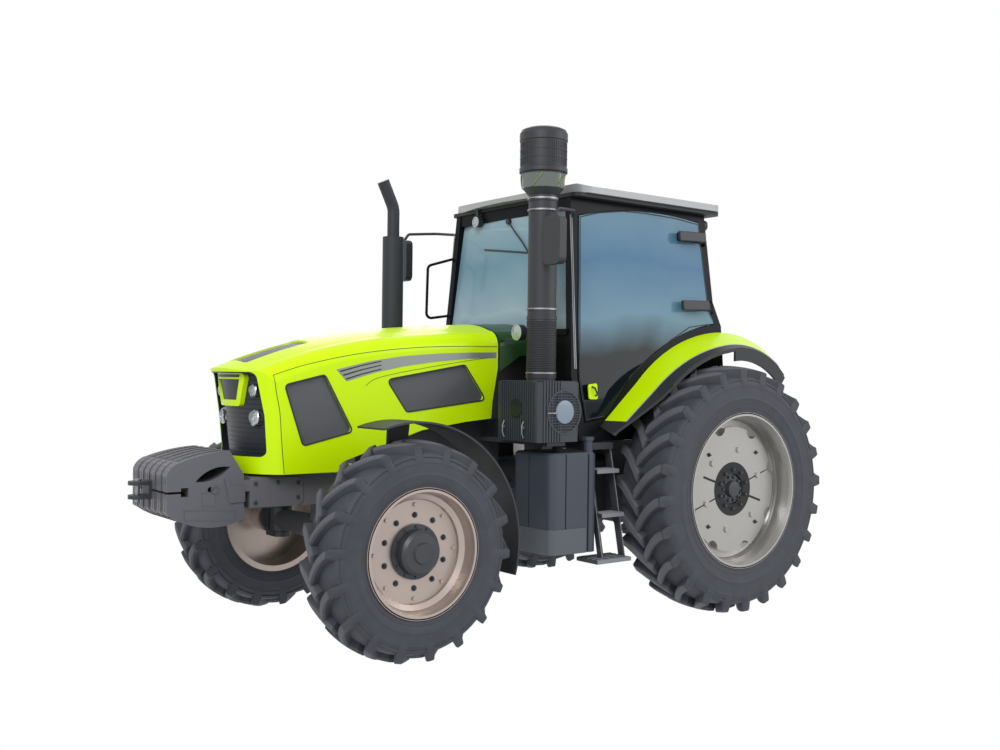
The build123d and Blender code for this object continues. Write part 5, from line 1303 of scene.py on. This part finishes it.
# %% Round lamps
lamp_faces = [
    # x of the face, y, z, facing, radius
    (0.170, 0.6, 2.05, 1, 0.056), (-0.183, 0.385, 2.96, 1, 0.042), (-1.702, 0.64, 2.965, -1, 0.042),
]
lamp_rim = [(-0.01, -0.001), (0.004, -0.001), (0.004, -0.007), (-0.01, -0.007)]
rims, lenses = Work(), Work()
for x, y, z, facing, radius in lamp_faces:
    for hand in hands.values():
        spot, axis = (x, hand * y, z), (facing, 0, 0)
        rims.turned([(ahead, radius + out) for ahead, out in lamp_rim], spot, axis, 36)
        lenses.turned(domed(radius - 0.007, 0.0, 0.0005, 0.006, 4), spot, axis, 36)
rims.made("lamp_rims", bright_steel, "chassis")
lenses.made("lamp_lenses", lamp_lens, "chassis")
print("round lamps:", len(hands) * len(lamp_faces))

# %% [markdown]
# The driver's seat is two upholstered cushions and a head rest. Cloth over foam has no flat face and no
# sharp edge, so each is a closed crowned form: a rounded slab whose middle rises and whose sides draw in
# between the corners.

# %% Upholstery
def bent(share, power=0.42):
    """A sine or cosine pushed towards its ends, which squares a circle."""
    return abs(share) ** power * (1 if share >= 0 else -1)


def cushion(name, centre, size, lean, crown, fill, stands_for):
    """A crowned pad: a superellipse in plan, swelling towards the middle, leaned about the cross axis."""
    length, width, depth = size
    tilt = Matrix.Rotation(lean, 3, "Y")
    rings = []
    for level in range(13):
        t = -1 + 2 * level / 12
        spread = (1 - abs(t) ** 3.2) ** (1 / 3.2) if abs(t) < 1 else 0.0
        ring = []
        for k in range(48):
            c, s = cos(2 * pi * k / 48), sin(2 * pi * k / 48)
            pinch = 1 - 0.03 * (1 - abs(t)) * (abs(c * s) * 2 < 0.55)
            shrink = (0.35 + 0.65 * spread) * pinch
            x, y = length / 2 * bent(c), width / 2 * bent(s)
            swell = crown * (1 - (x * shrink / (length / 2)) ** 2) * (1 - (y * shrink / (width / 2)) ** 2)
            ring.append(Vector((x * shrink, y * shrink, depth / 2 * t + swell * max(t, 0))))
        rings.append([Vector(centre) + tilt @ point for point in ring])
    work = Work()
    work.rows(rings)
    piece = work.made(name, cloth, "chassis", crease=50, stands_for=stands_for)


cushion_table = [
    # name, centre, size, lean, crown, fill, what it stands for
    ("seat_cushion", (-1.035, 0, 1.71), (0.48, 0.49, 0.12), 0.0, 0.02, 0.7, ["seat"]),
    ("seat_back", (-1.292, 0, 2.01), (0.49, 0.47, 0.09), pi / 2, 0.018, 0.7, []),
    ("seat_head_rest", (-1.292, 0, 2.315), (0.18, 0.28, 0.08), pi / 2, 0.012, 0.8, []),
]
for row in cushion_table:
    cushion(*row)
print("cushions:", len(cushion_table))

# %% [markdown]
# Arm rests hang beside the back on short brackets, and two bars carry the head rest. The console has three
# dials, as plain bright discs of metal without any print, since they are seen through tinted glass alone.

# %% Arm rests and dials
rest_corners = [(-1.285, 1.858), (-0.958, 1.858), (-0.958, 1.903), (-1.285, 1.903)]
arm_rests = Work()
for hand in hands.values():
    arm_rests.prism([(p.x, hand * 0.248, p.y) for p in rounded(rest_corners, 0.016)], (0, hand * 0.054, 0))
    bracket = sorted((hand * 0.2, hand * 0.25))
    arm_rests.box((-1.29, bracket[0], 1.862), (-1.245, bracket[1], 1.9))
for hand in hands.values():
    arm_rests.tube([(-1.292, hand * 0.06, 2.2), (-1.292, hand * 0.06, 2.3)], 0.008, 10)
arm_rests.made("seat_arm_rests", interior_black, "chassis", bevel=0.003)
dial_places = (-0.12, 0.0, 0.12)
dash = Work()
for y in dial_places:
    dash.turned([(0, 0), (0, 0.045), (0.006, 0.045), (0.006, 0)], (-0.36, y, 2.03), (-0.4, 0, 1), 28)
dash.made("console_dials", bright_steel, "chassis")
print("dials:", len(dial_places))

# %% [markdown]
# Tail lamps sit on the cab's back wall: a dark housing with a red and an amber lens. A ray from behind
# finds the wall, and the lenses stand a few millimetres proud of the housing.

# %% Tail lamps
housing_span, red_span, amber_span = (0.54, 0.70), (0.546, 0.62), (0.62, 0.694)
housings, red_lenses, amber_lenses = Work(), Work(), Work()
lens_foot, lens_head = 1.696, 1.804
for hand in hands.values():
    x = surface(["cab_floor", "cab_frame"], (-4.0, hand * 0.62, 1.75), (1, 0, 0))[0].x
    near, far = sorted(hand * y for y in housing_span)
    housings.box((x - 0.03, near, 1.69), (x + 0.002, far, 1.81))
    for lens_work, span in ((red_lenses, red_span), (amber_lenses, amber_span)):
        near, far = sorted(hand * y for y in span)
        lens_work.box((x - 0.036, near, lens_foot), (x - 0.029, far, lens_head))
housings.made("tail_lamp_housings", black_plastic, "chassis", bevel=0.003)
red_lenses.made("tail_lamps_red", red_lens, "chassis", bevel=0.002)
amber_lenses.made("tail_lamps_amber", amber, "chassis", bevel=0.002)
print("tail lamps:", len(hands))

# %% [markdown]
# Four hose couplings stand above the drawbar, for the tools that such a tractor pulls. A coupling is round
# and stepped, so one short profile, turned four times, gives them all.

# %% Hose couplings
coupling = [(0, 0), (0, 0.022), (0.03, 0.022), (0.034, 0.016), (0.05, 0.016), (0.05, 0)]
coupling_places = [-0.105 + 0.07 * k for k in range(4)]
couplings = Work()
for y in coupling_places:
    couplings.turned(coupling, (-1.83, y, 1.02), (-1, 0, 0), 20)
couplings.made("hose_couplings", dull_steel, "chassis")
print("couplings:", len(coupling_places))

# %% [markdown]
# A mirror is silvered behind its glass, so what shows is metal. Each is a thin rounded plate of polished
# metal on the rear face of its housing, because a true pane with a coat behind it would look the same.

# %% Mirror glass
mirror_near, mirror_far, mirror_foot, mirror_top = 0.868, 1.032, 2.513, 2.827
glasses = Work()
for hand in hands.values():
    near, far = hand * mirror_near, hand * mirror_far
    corners = [(near, mirror_foot), (far, mirror_foot), (far, mirror_top), (near, mirror_top)]
    glasses.prism([(0.0985, p.x, p.y) for p in rounded(corners, 0.036)], (0.003, 0, 0))
glasses.made("mirror_glasses", mirror_glass, "chassis")
print("mirrors:", len(hands))

# %% [markdown]
# Every rim ends in a bright rolled lip, a turned ring on the rim's outer face. Being turned about the axle,
# it stays true while the wheel rolls.

# %% Rim lips
for which in ("front", "rear"):
    for side, hand in hands.items():
        rim = "rim_" + which + "_" + side
        low, high = corners_of(rim)
        centre = middle_of(rim)
        face = high.y if hand > 0 else low.y
        reach = (high.z - low.z) / 2 - 0.003
        profile = [(-0.004, reach - 0.006), (0.0, reach - 0.008), (0.0, reach), (-0.004, reach)]
        lip = Work()
        lip.turned(profile, (centre.x, face, centre.z), (0, hand, 0), 96)
        lip.made("rim_lip_" + which + "_" + side, bright_steel, "wheel_" + which + "_" + side)
print("rim lips:", 2 * len(hands))

# %% [markdown]
# The rear wheel weight leaves a deep recess round the hub, where its studs stand, and two slots run
# out from it. Their shade is painted: thin dark forms on the weight's face, which read as depth from a
# few metres.

# %% Hub recess and slots as painted shade, and studs
slot_turns = (18, 198)
recess_radius, slot_end, stud_ring, stud_count = 0.2, 0.335, 0.145, 10
for side, hand in hands.items():
    rim, body = "rim_rear_" + side, "wheel_rear_" + side
    centre = middle_of(rim)
    (spot, normal), = from_side([rim], [(centre.x + 0.19, centre.z)], hand)
    recess = Work()
    # A dark ring and two dark slots on the weight's face: painted shade of the recess and slots.
    ring = [(-0.004, 0.115), (0.0015, 0.115), (0.0015, recess_radius), (-0.004, recess_radius)]
    recess.turned(ring, (centre.x, spot.y, centre.z), (0, hand, 0), 72)
    for turn in slot_turns:
        way = Vector((cos(radians(turn)), 0, sin(radians(turn))))
        wide = Vector((-way.z, 0, way.x)) * 0.008
        base = Vector((centre.x, spot.y - hand * 0.002, centre.z))
        inner, outer = base + way * (recess_radius - 0.01), base + way * slot_end
        recess.prism([inner - wide, outer - wide, outer + wide, inner + wide], (0, hand * 0.004, 0))
    recess.made("hub_recess_" + side, recess_black, body)
    studs = Work()
    for k in range(stud_count):
        turn = 2 * pi * (k + 0.5) / stud_count
        foot = Vector((centre.x + stud_ring * cos(turn), spot.y, centre.z + stud_ring * sin(turn)))
        six_sided(studs, foot, (0, hand, 0), 0.013, 0.02)
    studs.made("hub_studs_" + side, hub_steel, body)
print("slots:", len(hands) * len(slot_turns))

# %% [markdown]
# Door hinges sit under moulded covers, wider at the front, that lean with the cab's side. They ride on the
# door and swing with it.

# %% Hinge covers
hinge_heights = (2.305, 2.84)
cover_corners = [(-1.565, -0.03), (-1.27, -0.042), (-1.27, 0.034), (-1.565, 0.044)]
for side, hand in hands.items():
    covers = Work()
    for z in hinge_heights:
        (spot, normal), = from_side(["door_" + side, "door_glass_" + side], [(-1.4, z)], hand)
        outline = rounded([(x, z + up) for x, up in cover_corners], 0.014)
        points = [(p.x, spot.y + hand * (0.022 - cab_lean * (p.y - z)), p.y) for p in outline]
        covers.prism(points, (0, hand * 0.03, 0))
    covers.made("hinge_covers_" + side, black_plastic, "door_" + side, bevel=0.006)
print("hinge covers:", len(hands) * len(hinge_heights))

# %% [markdown]
# The studio: an even sky and three wide soft lamps. What the camera, a mirror or a pane sees of the sky is
# plain white, while the light that falls on the tractor stays at a level at which a colour looks as it is
# written. One strength for both would either grey the ground or wash out the paint.

# %% Sky and lamps
sky_light = 0.72
lamp_table = [
    # name, place, size, power
    ("key", (9.0, 7.0, 9.0), 6.0, 900.0),
    ("fill", (-8.0, 9.0, 6.0), 7.0, 450.0),
    ("back", (-6.0, -9.0, 8.0), 7.0, 450.0),
]
world = bpy.data.worlds.new("sky")
world.use_nodes = True
tree = world.node_tree
path = tree.nodes.new("ShaderNodeLightPath")
seen = Signal(tree, path.outputs["Is Camera Ray"])
for ray in ("Is Glossy Ray", "Is Transmission Ray"):
    seen = seen.sum("MAXIMUM", Signal(tree, path.outputs[ray]))
plain_sky = tree.nodes["Background"]
plain_sky.inputs["Color"].default_value = (1.0, 1.0, 1.0, 1.0)
connect(tree, plain_sky.inputs["Strength"], seen * (1.0 - sky_light) + sky_light)
bpy.context.scene.world = world
for name, place, size, power in lamp_table:
    data = bpy.data.lights.new(name, "AREA")
    data.size = size
    data.energy = power
    lamp = bpy.data.objects.new(name, data)
    lamp.location = place
    lamp.rotation_euler = (-Vector(place)).to_track_quat("-Z", "Y").to_euler()
    bpy.context.scene.collection.objects.link(lamp)
print("lamps:", len(lamp_table))

# %% [markdown]
# The camera stands ahead of the tractor and to its left, at eye height, and is turned a little about its
# own axis. Its three directions are written out, because a target to look at could not also give that
# small roll. The plain view transform shows a colour as it was named.

# %% Camera
camera_place = Vector((4.897, 6.564, 1.758))
camera_turn = radians(52.456)
camera_roll = 0.012
backward = Vector((cos(camera_turn), sin(camera_turn), 0.001)).normalized()
rightward = Vector((-sin(camera_turn), cos(camera_turn), 0.0))
upward = backward.cross(rightward)
level = Matrix((rightward, upward, backward)).transposed()
lens = bpy.data.cameras.new("camera")
lens.lens = 39.08
lens.sensor_width = 36.0
camera = bpy.data.objects.new("camera", lens)
rolled = level @ Matrix.Rotation(camera_roll, 3, "Z")
camera.matrix_world = Matrix.Translation(camera_place) @ rolled.to_4x4()
bpy.context.scene.collection.objects.link(camera)
bpy.context.scene.camera = camera
bpy.context.scene.view_settings.view_transform = "Standard"
print("camera lens in millimetres:", lens.lens)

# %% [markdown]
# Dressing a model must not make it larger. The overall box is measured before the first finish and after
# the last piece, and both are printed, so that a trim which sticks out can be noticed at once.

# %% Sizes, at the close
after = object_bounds()
sizes = {"before": [list(corner) for corner in before], "after": [list(corner) for corner in after]}
print("overall box now:", after)
